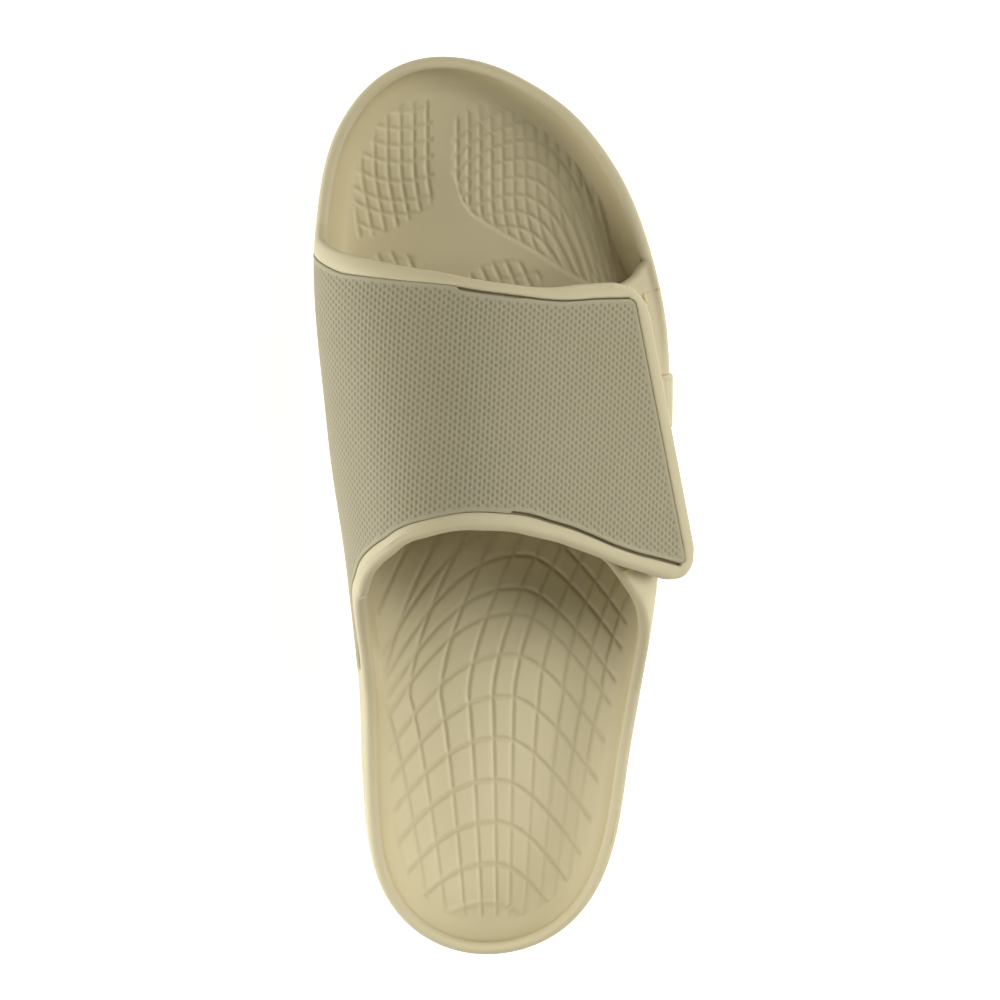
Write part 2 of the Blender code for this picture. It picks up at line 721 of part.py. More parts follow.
# Sole
LUG_Y = (-0.390, -0.338, -0.286, -0.233, 0.063, 0.125, 0.188, 0.251, 0.314, 0.373)
PLAIN_Y = (-0.5, -0.498, -0.491, -0.479, -0.460, -0.436, -0.181, -0.132, -0.084, -0.035, 0.014,
           0.415, 0.4425, 0.465, 0.4825, 0.4934, 0.498, 0.5)
stations = []
for y in np.array(PLAIN_Y) * LENGTH:
    stations.append((y, 0.0))
for y in np.array(LUG_Y) * LENGTH:
    for side in (-1, 1):
        stations.append((y + side * LUG_GROOVE / 2, 1.0))
        stations.append((y + side * (LUG_GROOVE / 2 + 0.5), 0.0))
stations = np.array(sorted(stations))
M = len(stations)
lateral = turn_at(stations[:, 0], True)
medial = turn_at(stations[::-1, 0], False)[1:-1]
sole_turns = np.concatenate([lateral, medial])
lugs = np.concatenate([stations[:, 1], stations[::-1, 1][1:-1]])


def sole_ring(inset, z):
    xy = outline(sole_turns) + inward(sole_turns) * np.broadcast_to(inset, sole_turns.shape)[:, None]
    return np.concatenate([xy, np.broadcast_to(z, sole_turns.shape)[:, None]], -1)


g = ground(sole_turns)
s = seam(sole_turns) - SEAM_GAP
tall = s - g
SIDE = ((0.0, GROUND_TUCK), (0.24, 1.6), (0.46, 1.1), (0.50, 0.0), (0.78, 0.0), (1.0, 0.2))
side_rings = []
for share, inset in SIDE:
    z = g + tall * share
    if share == 0.0:
        z = z + lugs * LUG_DEPTH
    side_rings.append(sole_ring(inset, z))
edge_z = bed_edge(sole_turns)
edge_in = wall_point(sole_turns, edge_z, WALL + foot_run(sole_turns))
edge_in[:, 2] -= SEAM_GAP
side_rings.append(edge_in)
BED = (0.06, 0.16, 0.32, 0.53, 0.79, 1.1)
BED_REACH = 19.0
for run in np.array(BED) * BED_REACH:
    ring = edge_in.copy()
    ring[:, :2] += inward(sole_turns) * run
    fall = np.clip(1 - run / BED_REACH, 0, 1) ** 2.2
    base_z = middle(ring[:, 1])
    ring[:, 2] = base_z + (edge_z - SEAM_GAP - base_z) * fall
    side_rings.append(ring)
side_rings = np.array(side_rings)


def ladder(ring, columns):
    """Rows across the shoe between the lateral and medial halves of a ring."""
    lat = ring[:M]
    med = np.concatenate([ring[:1], ring[:M - 1:-1], ring[M - 1:M]])
    t = np.linspace(0, 1, columns)[None, :, None]
    return lat[:, None] * (1 - t) + med[:, None] * t


under = ladder(side_rings[0], 4)
bed = ladder(side_rings[-1], 4)
sole = solid("sole", [closed(side_rings), under, bed], material("foam_sole", (0.52, 0.47, 0.34), 0.66))

# The sandal stands at the middle of its own box
corners = []
for obj in bpy.data.objects:
    for v in obj.data.vertices:
        corners.append(v.co[:])
corners = np.array(corners)
shift = (corners.min(0) + corners.max(0)) / 2
shift[2] = corners[:, 2].min()
for obj in bpy.data.objects:
    for v in obj.data.vertices:
        v.co = v.co - type(v.co)(shift.tolist())
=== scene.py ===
"""Looks of the open-toe slide sandal: moulded foam sole, upper with a crossing strap, dimpled panel.

X runs to the lateral side, Y to the toe, Z up.  Lengths are millimetres until a mesh is made.
"""
import math

import bmesh
import bpy
import numpy as np
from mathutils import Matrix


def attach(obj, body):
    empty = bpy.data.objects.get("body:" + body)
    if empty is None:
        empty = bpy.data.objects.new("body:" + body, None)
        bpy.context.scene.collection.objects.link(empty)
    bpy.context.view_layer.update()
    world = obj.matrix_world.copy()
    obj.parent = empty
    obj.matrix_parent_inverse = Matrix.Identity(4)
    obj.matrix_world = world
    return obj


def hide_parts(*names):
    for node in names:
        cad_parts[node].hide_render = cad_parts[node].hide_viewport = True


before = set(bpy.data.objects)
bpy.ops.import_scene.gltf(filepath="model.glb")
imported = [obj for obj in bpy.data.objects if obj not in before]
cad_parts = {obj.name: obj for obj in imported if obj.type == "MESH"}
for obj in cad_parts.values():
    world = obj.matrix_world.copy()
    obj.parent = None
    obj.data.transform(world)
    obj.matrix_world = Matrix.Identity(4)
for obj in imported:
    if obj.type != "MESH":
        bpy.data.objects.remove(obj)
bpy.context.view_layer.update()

MM = 0.001
SHIFT = np.array([0.7994, 0.0, 0.0])

# Main sizes
LENGTH = 287.0
BALL_WIDTH = 114.0
RIM_HEIGHT = 42.0
WALL = 4.0
GAP = 0.3

# Strap
CROWN_X = -17.5
CROWN_FRONT = 75.0
CROWN_BACK = 93.5
CROWN_FRONT_Y = 0.2439 * LENGTH
CROWN_BACK_Y = -0.0279 * LENGTH
RAMP_RADIUS = 30.0
RAMP_SLOPE_FRONT = 0.66
RAMP_SLOPE_BACK = 0.80
FLAP_END_X = 51.5
FLAP_END_SLANT = 0.191
FLAP_END_Y = 0.0976 * LENGTH
CORNER = 9.0

# Panel, pads and wing
FRAME = 3.2
RECESS = 1.5
PANEL_PROUD = 0.2
PAD = 1.2
WING_DROP = WALL + 2.0 * PAD + 3.0 * GAP + 0.25
WING_END_X = 11.0
SHOULDER = 8.0

# Sole
LUG_GROOVE = 3.4
LUG_DEPTH = 3.0
GROUND_TUCK = 5.0

# Outline: along of LENGTH from the heel, medial and lateral x of BALL_WIDTH
OUTLINE = (
    (0.015, -0.2035, 0.1165),
    (0.060, -0.3270, 0.2455),
    (0.100, -0.3700, 0.2965),
    (0.160, -0.3930, 0.3340),
    (0.220, -0.4020, 0.3560),
    (0.300, -0.4090, 0.3910),
    (0.380, -0.4280, 0.4235),
    (0.460, -0.4520, 0.4465),
    (0.540, -0.4825, 0.4615),
    (0.620, -0.5035, 0.4675),
    (0.700, -0.5240, 0.4590),
    (0.780, -0.5315, 0.4165),
    (0.850, -0.5165, 0.3525),
    (0.900, -0.4870, 0.2765),
    (0.940, -0.4370, 0.1870),
    (0.970, -0.3720, 0.0800),
    (0.990, -0.2930, -0.0265),
)
HEEL_TIP = -0.0465
TOE_TIP = -0.1700

# Heights of RIM_HEIGHT: along, ground, seam, footbed middle, footbed edge medial and
# lateral, rim medial and lateral
HEIGHTS = (
    (0.00, 0.095, 0.56, 0.645, 0.800, 0.800, 0.990, 0.990),
    (0.06, 0.010, 0.56, 0.630, 0.785, 0.785, 0.990, 0.990),
    (0.12, 0.000, 0.56, 0.620, 0.780, 0.775, 1.000, 0.985),
    (0.28, 0.000, 0.56, 0.640, 0.800, 0.770, 1.020, 0.985),
    (0.36, 0.020, 0.55, 0.650, 0.810, 0.765, 1.045, 1.010),
    (0.46, 0.060, 0.53, 0.620, 0.790, 0.740, 1.060, 1.045),
    (0.55, 0.022, 0.50, 0.560, 0.720, 0.685, 1.050, 0.985),
    (0.62, 0.000, 0.48, 0.515, 0.650, 0.625, 1.025, 0.945),
    (0.73, 0.000, 0.48, 0.490, 0.610, 0.597, 0.985, 0.930),
    (0.79, 0.012, 0.48, 0.490, 0.600, 0.590, 0.960, 0.930),
    (0.88, 0.085, 0.52, 0.530, 0.620, 0.610, 0.945, 0.935),
    (1.00, 0.290, 0.62, 0.640, 0.700, 0.700, 0.960, 0.960),
)

# Wall, of WALL: along, outer lean at the rim medial and lateral, inner foot run
WALLS = (
    (0.000, 0.2000, 0.2000, 1.3750),
    (0.100, 0.3000, 0.2000, 1.1250),
    (0.280, 0.5500, 0.2000, 0.8750),
    (0.450, 0.3000, 0.1500, 0.6250),
    (0.700, 0.1250, 0.1000, 0.6250),
    (0.880, 0.1250, 0.1000, 1.0000),
    (1.000, 0.1500, 0.1500, 1.5000),
)

# Strap edges: share of the strap's run, front y and back y of LENGTH
STRAP_EDGES = (
    (0.000, 0.3188, -0.2230),
    (0.020, 0.3031, -0.1655),
    (0.050, 0.2927, -0.1272),
    (0.100, 0.2850, -0.0993),
    (0.150, 0.2787, -0.0854),
    (0.210, 0.2718, -0.0645),
    (0.310, 0.2634, -0.0446),
    (0.410, 0.2551, -0.0314),
    (0.500, 0.2495, -0.0265),
    (0.610, 0.2425, -0.0317),
    (0.680, 0.2401, -0.0408),
    (0.760, 0.2390, -0.0544),
    (0.840, 0.2411, -0.0672),
    (0.920, 0.2439, -0.0794),
    (1.000, 0.2446, -0.0850),
)

# Wing edges: share of the wing's run, front y and back y of LENGTH
WING_EDGES = (
    (0.000, 0.2997, -0.2091),
    (0.060, 0.2805, -0.1742),
    (0.140, 0.2648, -0.1429),
    (0.240, 0.2526, -0.1132),
    (0.360, 0.2446, -0.0854),
    (0.500, 0.2397, -0.0610),
    (0.750, 0.2334, -0.0401),
    (1.000, 0.2265, -0.0314),
)


def hermite(x, xs, ys):
    """Smooth curve through the rows of a table, flat outside it."""
    xs = np.asarray(xs, float)
    ys = np.asarray(ys, float)
    x = np.clip(np.asarray(x, float), xs[0], xs[-1])
    steps = np.diff(xs)
    slopes = np.diff(ys) / steps
    tangents = np.empty_like(ys)
    tangents[0] = slopes[0]
    tangents[-1] = slopes[-1]
    same = slopes[1:] * slopes[:-1] > 0
    mean = 2 * slopes[1:] * slopes[:-1] / np.where(same, slopes[1:] + slopes[:-1], 1.0)
    tangents[1:-1] = np.where(same, mean, 0.0)
    i = np.clip(np.searchsorted(xs, x, side="right") - 1, 0, len(steps) - 1)
    t = (x - xs[i]) / steps[i]
    a = (1 + 2 * t) * (1 - t) ** 2
    b = t * (1 - t) ** 2
    c = t * t * (3 - 2 * t)
    d = t * t * (t - 1)
    return a * ys[i] + b * steps[i] * tangents[i] + c * ys[i + 1] + d * steps[i] * tangents[i + 1]


def last_below(values, limit):
    """Last station of each line whose value is below the limit."""
    return np.clip((values < limit).sum(-1, keepdims=True) - 1, 0, values.shape[-1] - 2)


def share_at(values, i, target):
    """Share of the way from station i to the next at which the values reach the target."""
    first = np.take_along_axis(values, i, -1)
    return (target - first) / (np.take_along_axis(values, i + 1, -1) - first)


def between(values, i, t):
    """Value at share t of the way from station i to the next."""
    return np.take_along_axis(values, i, -1) * (1 - t) + np.take_along_axis(values, i + 1, -1) * t


def run_along(x, z, step=0.0):
    """Run along each line: sum of hypot(dx, dz) + step."""
    run = np.cumsum(np.hypot(np.diff(x, axis=-1), np.diff(z, axis=-1)) + step, -1)
    return np.concatenate([np.zeros(run.shape[:-1] + (1,)), run], -1)


def closed_spline(knots, values, period):
    """Steps and second derivatives of the closed cubic spline through values at knots."""
    steps = np.diff(np.append(knots, knots[0] + period))
    before = np.roll(steps, 1)
    rows = np.diag(2 * (before + steps))
    rows += np.roll(np.diag(before), -1, 1) + np.roll(np.diag(steps), 1, 1)
    rise = (np.roll(values, -1) - values) / steps
    return steps, np.linalg.solve(rows, 6 * (rise - np.roll(rise, 1)))


def turn_of(along):
    """Angle round the outline of a share along the length, lateral side."""
    return np.arccos(1 - 2 * along)


widths = np.array(OUTLINE)
stations = turn_of(widths[:, 0])
KNOTS = np.concatenate([[0.0], stations, [math.pi], 2 * math.pi - stations[::-1]])
VALUES = np.concatenate([[HEEL_TIP], widths[:, 2], [TOE_TIP], widths[::-1, 1]]) * BALL_WIDTH
STEPS, BENDS = closed_spline(KNOTS, VALUES, 2 * math.pi)


def outline(turn):
    """Widest outline: x from the closed spline, y = -cos(turn) LENGTH / 2."""
    turn = np.mod(turn, 2 * math.pi)
    i = np.searchsorted(KNOTS, turn, side="right") - 1
    j = (i + 1) % len(KNOTS)
    h = STEPS[i]
    t = turn - KNOTS[i]
    r = h - t
    x = (BENDS[i] * r ** 3 + BENDS[j] * t ** 3) / (6 * h)
    x = x + (VALUES[i] / h - BENDS[i] * h / 6) * r + (VALUES[j] / h - BENDS[j] * h / 6) * t
    return np.stack([x, -np.cos(turn) * LENGTH / 2], -1)


def inward(turn):
    """Unit normal of the outline pointing into the shoe."""
    step = 1e-3
    d = outline(turn + step) - outline(turn - step)
    d = d / np.linalg.norm(d, axis=-1, keepdims=True)
    return np.stack([-d[..., 1], d[..., 0]], -1)


def along_of(turn):
    """Share along the length from the heel: (1 - cos(turn)) / 2."""
    return (1 - np.cos(turn)) / 2


def turn_at(y, lateral):
    """Angle round the outline at y on the given side."""
    turn = np.arccos(np.clip(-2 * y / LENGTH, -1, 1))
    return turn if lateral else 2 * math.pi - turn


def sided(table, medial, lateral, turn):
    """Table value that blends between its medial and lateral columns."""
    rows = np.array(table)
    along = along_of(turn)
    share = 0.5 + 0.5 * np.clip(np.sin(turn) / 0.35, -1, 1)
    share = share * share * (3 - 2 * share)
    m = hermite(along, rows[:, 0], rows[:, medial])
    n = hermite(along, rows[:, 0], rows[:, lateral])
    return m * (1 - share) + n * share


def ground(turn):
    """Height of the ground edge, from HEIGHTS."""
    return sided(HEIGHTS, 1, 1, turn) * RIM_HEIGHT


def seam(turn):
    """Height of the seam between sole and wall, from HEIGHTS."""
    return sided(HEIGHTS, 2, 2, turn) * RIM_HEIGHT


def middle(y):
    """Height of the footbed's middle, from HEIGHTS."""
    rows = np.array(HEIGHTS)
    return hermite(0.5 + y / LENGTH, rows[:, 0], rows[:, 3]) * RIM_HEIGHT


def bed_edge(turn):
    """Height of the footbed's edge, from HEIGHTS."""
    return sided(HEIGHTS, 4, 5, turn) * RIM_HEIGHT


def rim(turn):
    """Height of the rim's skins; the rounded edge rises WALL / 2 more."""
    return sided(HEIGHTS, 6, 7, turn) * RIM_HEIGHT - WALL / 2


def lean(turn):
    """Lean of the wall's outer face at the rim, from WALLS."""
    return sided(WALLS, 1, 2, turn) * WALL


def foot_run(turn):
    """Run of the inner skin's foot into the shoe, from WALLS."""
    return sided(WALLS, 3, 3, turn) * WALL


def wall_point(turn, z, depth):
    """Point of the rim wall at height z, depth in from its outer face.

    The outer face leans in from the outline by lean(turn) between the seam and the rim.
    """
    low = seam(turn)
    share = np.clip((z - low) / (rim(turn) - low), 0, 1.3)
    inset = 0.2 + (lean(turn) - 0.2) * share ** 1.6 + depth
    xy = outline(turn) + inward(turn) * inset[..., None]
    return np.concatenate([xy, np.asarray(z)[..., None] + 0 * inset[..., None]], -1)


def crown(y):
    """Height of the crown line: straight, and levelling off by 0.12 tanh behind its back."""
    share = (CROWN_FRONT_Y - y) / (CROWN_FRONT_Y - CROWN_BACK_Y)
    share = np.where(share > 1, 1 + 0.12 * np.tanh((share - 1) / 0.25), share)
    return CROWN_FRONT + (CROWN_BACK - CROWN_FRONT) * share


def ramp_slope(y):
    """Slope of the lateral ramp, straight from front to back."""
    share = np.clip((CROWN_FRONT_Y - y) / (CROWN_FRONT_Y - CROWN_BACK_Y), -0.2, 1.2)
    return RAMP_SLOPE_FRONT + (RAMP_SLOPE_BACK - RAMP_SLOPE_FRONT) * share


def ramp_z(x, y):
    """Lateral fall of the strap: a hyperbola from the crown."""
    dx = (x - CROWN_X) / RAMP_RADIUS
    return crown(y) - ramp_slope(y) * RAMP_RADIUS * (np.sqrt(1 + dx * dx) - 1)


def medial_base(y):
    """x and z of the medial rim."""
    turn = turn_at(y, False)
    p = wall_point(turn, rim(turn), np.zeros_like(turn))
    return p[..., 0], p[..., 2]


def flap_end_x(y):
    """x of the flap's slanted end: straight in y."""
    return FLAP_END_X + (FLAP_END_Y - y) * FLAP_END_SLANT


def strap_lines(y):
    """Section of the strap across the foot: wall, quarter ellipse, hyperbola."""
    y = np.asarray(y, float)[..., None]
    base_x, base_z = medial_base(y)
    rise = 2.0
    q = np.linspace(0, 1, 70) * math.pi / 2
    ex = CROWN_X - (CROWN_X - base_x) * np.cos(q)
    ez = base_z + rise + (crown(y) - base_z - rise) * np.sin(q)
    hx = CROWN_X + np.linspace(0, 1, 70)[1:] * (flap_end_x(y) + 1.5 * WALL - CROWN_X)
    hz = ramp_z(hx, y)
    x = np.concatenate([base_x + 0 * y, ex, hx], -1)
    z = np.concatenate([base_z + 0 * y, ez, hz], -1)
    return x, z, run_along(x, z)


def follow(lines, w):
    """Point of each section line at run w."""
    x, z, run = lines
    w = w[..., None]
    i = last_below(run, w)
    t = share_at(run, i, w)
    return between(x, i, t)[..., 0], between(z, i, t)[..., 0]


def strap_end(y):
    """Run of the strap from the medial rim to its end at x = flap_end_x(y)."""
    x, z, run = strap_lines(y)
    end = flap_end_x(np.asarray(y, float))[..., None]
    i = last_below(x, end)
    return between(run, i, share_at(x, i, end))[..., 0]


def face_point(lines, lateral, y, w):
    """Point of a section at run w; below w = 0 it is the wall on that side."""
    px, pz = follow(lines(y), np.maximum(w, 0))
    turn = turn_at(y, lateral)
    low = wall_point(turn, rim(turn) + np.minimum(w, 0), np.zeros_like(w))
    return np.where(w[..., None] > 0, np.stack([px, y, pz], -1), low)


def strap_face(y, w):
    """Outer face of the strap and the medial wall."""
    return face_point(strap_lines, False, y, w)


def wing_lines(y):
    """Section of the wing: lateral wall, rounded shoulder, ramp under the strap."""
    y = np.asarray(y, float)[..., None]
    turn = turn_at(y, True)
    base = wall_point(turn, rim(turn), np.zeros_like(y))
    base_x = base[..., 0]
    base_z = base[..., 2]
    slope = ramp_slope(y)
    hx = np.linspace(0, 1, 90) * (base_x + 3.5 * WALL - WING_END_X + 2 * WALL) + WING_END_X - 2 * WALL
    hz = ramp_z(hx, y)
    dx = (hx - CROWN_X) / RAMP_RADIUS
    fall = -slope * dx / np.sqrt(1 + dx * dx)
    norm = np.sqrt(1 + fall * fall)
    ox = hx + fall * WING_DROP / norm
    oz = hz - WING_DROP / norm
    i = last_below(ox, base_x)
    corner = np.maximum(between(oz, i, share_at(ox, i, base_x)), base_z + 3.0)
    reach = np.minimum(SHOULDER, corner - base_z)
    bx = base_x - reach / np.sqrt(1 + slope ** 2)
    j = last_below(ox, bx)
    bz = between(oz, j, share_at(ox, j, bx))
    s = np.linspace(0, 1, 20)
    cx = (1 - s) ** 2 * base_x + 2 * s * (1 - s) * base_x + s * s * bx
    cz = (1 - s) ** 2 * (corner - reach) + 2 * s * (1 - s) * corner + s * s * bz
    k = np.linspace(0, 1, 60)[1:]
    rx = bx + k * (WING_END_X - 1.5 * WALL - bx)
    flat_x = ox.reshape(-1, ox.shape[-1])
    flat_z = oz.reshape(-1, oz.shape[-1])
    flat_r = rx.reshape(-1, rx.shape[-1])
    rz = np.stack([np.interp(a, b, c) for a, b, c in zip(flat_r, flat_x, flat_z)]).reshape(rx.shape)
    x = np.concatenate([base_x, cx, rx], -1)
    z = np.concatenate([base_z, cz, rz], -1)
    z = np.maximum.accumulate(z + np.arange(z.shape[-1]) * 1e-6, -1)
    return x, z, run_along(x, z, 1e-7)


def wing_end(y):
    """Run of the wing to its end at x = WING_END_X."""
    x, z, run = wing_lines(y)
    i = np.clip((x > WING_END_X).sum(-1, keepdims=True) - 1, 0, run.shape[-1] - 2)
    return np.take_along_axis(run, i, -1)[..., 0]


def wing_face(y, w):
    """Outer face of the wing and the lateral wall."""
    return face_point(wing_lines, True, y, w)


def sunk(face, y, w, depth, flip):
    """Point at depth under a face, along its normal."""
    y, w = np.broadcast_arrays(y, w)
    h = 0.6
    dy = face(y + h, w) - face(y - h, w)
    dw = face(y, w + h) - face(y, w - h)
    n = np.cross(dy, dw) * flip
    n = n / np.linalg.norm(n, axis=-1, keepdims=True)
    return face(y, w) - n * np.asarray(depth)[..., None]


def strap_point(y, w, depth):
    """Point of the strap at depth under its face."""
    return sunk(strap_face, y, w, depth, -1)


def wing_point(y, w, depth):
    """Point of the wing at depth under its face."""
    return sunk(wing_face, y, w, depth, 1)


# Relief
DIMPLE_RUN = 1.47
DIMPLE_LONG = 2.17
DIMPLE_DEPTH = 0.36
GROOVE_DEPTH = 0.80
GROOVE_HALF = 0.60
TREAD_DEPTH = 0.9
TREAD_PITCH = 5.4
BED_REACH = 19.0
PANEL_LOW = 5.0


# Patterns of the finishes per metre, and their relief in metres
CLOUD_SCALE = 26.0
SKIN_SCALE = 1700.0
PORE_SCALE = 620.0
PILE_SCALE = 2400.0
WEAVE_SCALE = 1500.0
BLOT_SCALE = 420.0
SKIN_RELIEF = 0.00010
PILE_RELIEF = 0.00035


class Wave:
    """One shader socket that takes part in arithmetic."""

    def __init__(self, tree, socket):
        self.tree = tree
        self.socket = socket

    def node(self, op, *values):
        made = self.tree.nodes.new("ShaderNodeMath")
        made.operation = op
        for slot, value in zip(made.inputs, values):
            if isinstance(value, Wave):
                self.tree.links.new(value.socket, slot)
            else:
                slot.default_value = float(value)
        return Wave(self.tree, made.outputs[0])

    def __add__(self, other):
        return self.node("ADD", self, other)

    def __radd__(self, other):
        return self.node("ADD", other, self)

    def __sub__(self, other):
        return self.node("SUBTRACT", self, other)

    def __rsub__(self, other):
        return self.node("SUBTRACT", other, self)

    def __mul__(self, other):
        return self.node("MULTIPLY", self, other)

    def __rmul__(self, other):
        return self.node("MULTIPLY", other, self)

    def limit(self):
        return self.node("MINIMUM", self.node("MAXIMUM", self, 0.0), 1.0)


class Finish:
    """A node material: sockets in, variable signals to colour, roughness and normal."""

    def __init__(self, name, roughness, specular):
        self.material = bpy.data.materials.new(name)
        self.material.use_nodes = True
        self.tree = self.material.node_tree
        self.shader = self.tree.nodes["Principled BSDF"]
        self.shader.inputs["Roughness"].default_value = roughness
        self.shader.inputs["Specular IOR Level"].default_value = specular
        self.place = self.tree.nodes.new("ShaderNodeTexCoord").outputs["Object"]

    def make(self, kind, settings, inputs):
        made = self.tree.nodes.new(kind)
        for key, value in settings.items():
            setattr(made, key, value)
        for key, value in inputs.items():
            slot = made.inputs[key]
            if isinstance(value, Wave):
                self.tree.links.new(value.socket, slot)
            elif isinstance(value, bpy.types.NodeSocket):
                self.tree.links.new(value, slot)
            else:
                slot.default_value = value
        return made

    def noise(self, scale, detail, rough):
        inputs = {"Vector": self.place, "Scale": scale, "Detail": detail, "Roughness": rough}
        made = self.make("ShaderNodeTexNoise", {}, inputs)
        return Wave(self.tree, made.outputs["Fac"])

    def cells(self, scale):
        made = self.make("ShaderNodeTexVoronoi", {}, {"Vector": self.place, "Scale": scale})
        return Wave(self.tree, made.outputs["Distance"])

    def mark(self, name):
        made = self.make("ShaderNodeAttribute", {"attribute_name": name}, {})
        return Wave(self.tree, made.outputs["Fac"])

    def mix(self, share, first, second):
        made = self.make("ShaderNodeMix", {"data_type": "RGBA"}, {0: share, 6: first, 7: second})
        return made.outputs[2]

    def colour(self, socket):
        self.tree.links.new(socket, self.shader.inputs["Base Color"])

    def roughness(self, wave):
        self.tree.links.new(wave.socket, self.shader.inputs["Roughness"])

    def relief(self, height, distance, strength):
        inputs = {"Height": height, "Distance": distance, "Strength": strength}
        made = self.make("ShaderNodeBump", {}, inputs)
        self.tree.links.new(made.outputs["Normal"], self.shader.inputs["Normal"])


def foam(name, colours, roughness):
    """Moulded foam: cloudy colour, fine skin grain, small pores, and painted shade: a deep tone laid
    into its hollows.
    """
    colour, shade, deep = colours
    finish = Finish(name, roughness, 0.42)
    cloud = finish.noise(CLOUD_SCALE, 3.0, 0.6)
    skin = finish.noise(SKIN_SCALE, 2.0, 0.6)
    pores = (0.30 - finish.cells(PORE_SCALE)).limit()
    base = finish.mix((cloud * 1.8 - 0.4).limit(), (*colour, 1.0), (*shade, 1.0))
    # painted shade: the deep tone is mixed in by the per-point shade mark, darker in hollows
    base = finish.mix((finish.mark("painted_shade") * 0.9).limit(), base, (*deep, 1.0))
    finish.colour(base)
    finish.roughness(skin * 0.12 + (roughness - 0.06))
    finish.relief(skin * 0.5 + cloud * 0.4 - pores * 0.5, SKIN_RELIEF, 0.5)
    return finish.material


def tape(name, colour, shade):
    """Fastening tape: short dense pile over a woven ground."""
    finish = Finish(name, 0.85, 0.25)
    pile = finish.noise(PILE_SCALE, 2.0, 0.7)
    weave = finish.cells(WEAVE_SCALE)
    finish.colour(finish.mix(pile, (*colour, 1.0), (*shade, 1.0)))
    finish.relief(pile * 0.6 + weave * 0.4, PILE_RELIEF, 0.8)
    return finish.material


def flap_painted_shade(name):
    """Painted shade on the wing under the flap: amber, uneven and slightly glossy."""
    finish = Finish(name, 0.35, 0.5)
    blot = finish.noise(BLOT_SCALE, 3.0, 0.6)
    finish.colour(finish.mix(blot, (0.72, 0.58, 0.20, 1.0), (0.80, 0.70, 0.38, 1.0)))
    finish.roughness(blot * 0.25 + 0.25)
    return finish.material


# Colour, second tone and deep tone of the pale foam and of the panel; the deep tone is painted shade
# for hollows
PALE = ((0.700, 0.618, 0.385), (0.672, 0.590, 0.360), (0.200, 0.155, 0.075))
OLIVE = ((0.478, 0.433, 0.280), (0.456, 0.411, 0.260), (0.190, 0.150, 0.066))
upper_foam = foam("upper_foam", PALE, 0.50)
sole_foam = foam("sole_foam", PALE, 0.56)
panel_foam = foam("panel_foam", OLIVE, 0.60)
badge_foam = foam("badge_foam", PALE, 0.38)
hook_tape = tape("hook_tape", (0.62, 0.50, 0.20), (0.48, 0.37, 0.13))
loop_tape = tape("loop_tape", (0.52, 0.47, 0.31), (0.40, 0.35, 0.22))
amber_flap_painted_shade = flap_painted_shade("amber_flap_painted_shade")


def grid_faces(rows, cols, start):
    """Quads of a grid whose points are numbered row by row from start."""
    n = np.arange(rows * cols).reshape(rows, cols) + start
    return np.stack([n[:-1, :-1], n[:-1, 1:], n[1:, 1:], n[1:, :-1]], -1).reshape(-1, 4)


def solid(name, patches, finish, node):
    """Weld patches into one closed piece that faces outward.

    A patch is (points, painted shade, crease): a grid of points, how much painted shade and how
    creased each is.
    A patch whose points are one list has its faces in place of the crease.  An edge between
    two creased points stays sharp.
    """
    points = []
    faces = []
    painted_shade = []
    crease = []
    start = 0
    for shape, shade_share, fold in patches:
        count = shape.size // 3
        points.append(shape.reshape(-1, 3))
        if shape.ndim == 3:
            faces += grid_faces(shape.shape[0], shape.shape[1], start).tolist()
            crease.append(np.broadcast_to(fold, shape.shape[:2]).reshape(-1))
        else:
            faces += (fold + start).tolist()
            crease.append(np.zeros(count))
        painted_shade.append(np.broadcast_to(shade_share, shape.shape[:-1]).reshape(-1))
        start += count
    mesh = bpy.data.meshes.new(name)
    mesh.from_pydata(((np.concatenate(points) + SHIFT) * MM).tolist(), [], faces)
    for key, values in (("painted_shade", painted_shade), ("crease", crease)):
        layer = mesh.attributes.new(key, "FLOAT", "POINT")
        layer.data.foreach_set("value", np.concatenate(values).astype(np.float32))
    body = bmesh.new()
    body.from_mesh(mesh)
    bmesh.ops.remove_doubles(body, verts=body.verts, dist=4e-6)
    bmesh.ops.dissolve_degenerate(body, edges=body.edges, dist=1e-7)
    bmesh.ops.recalc_face_normals(body, faces=body.faces)
    if body.calc_volume(signed=True) < 0:
        bmesh.ops.reverse_faces(body, faces=body.faces)
    body.to_mesh(mesh)
    body.free()
    ends = np.empty(len(mesh.edges) * 2, np.int32)
    mesh.edges.foreach_get("vertices", ends)
    folded = np.empty(len(mesh.vertices), np.float32)
    mesh.attributes["crease"].data.foreach_get("value", folded)
    sharp = (folded[ends.reshape(-1, 2)] > 0.5).all(1)
    mesh.attributes.new("sharp_edge", "BOOLEAN", "EDGE").data.foreach_set("value", sharp)
    mesh.attributes.remove(mesh.attributes["crease"])
    mesh.polygons.foreach_set("use_smooth", np.ones(len(mesh.polygons), bool))
    mesh.materials.append(finish)
    piece = bpy.data.objects.new(name, mesh)
    bpy.context.scene.collection.objects.link(piece)
    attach(piece, "root")
    if node:
        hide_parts(node)


def row_fold(points, row):
    """Crease marks on one row of a ring that will be closed."""
    fold = np.zeros(closed(points).shape[:2])
    fold[row] = 1
    return fold


def border_fold(points):
    """Crease marks on the border of a grid."""
    fold = np.zeros(points.shape[:2])
    fold[[0, -1]] = 1
    fold[:, [0, -1]] = 1
    return fold


def closed(points):
    """Grid whose first column is repeated at its end."""
    return np.concatenate([points, points[:, :1]], 1)


def by_rows(face, y, w, depth):
    """Face points of a large grid, worked out row by row."""
    return np.stack([face(a, b, c) for a, b, c in zip(y, w, depth)])


def smooth(x):
    """Step from 0 to 1: 3 x^2 - 2 x^3."""
    x = np.clip(x, 0, 1)
    return x * x * (3 - 2 * x)


def arc_back(radius, near):
    """Draw-back of a corner of this radius at a distance from its side: r - sqrt(r^2 - (r - n)^2)."""
    n = np.clip(near, 0, radius)
    return radius - np.sqrt(radius ** 2 - (radius - n) ** 2)


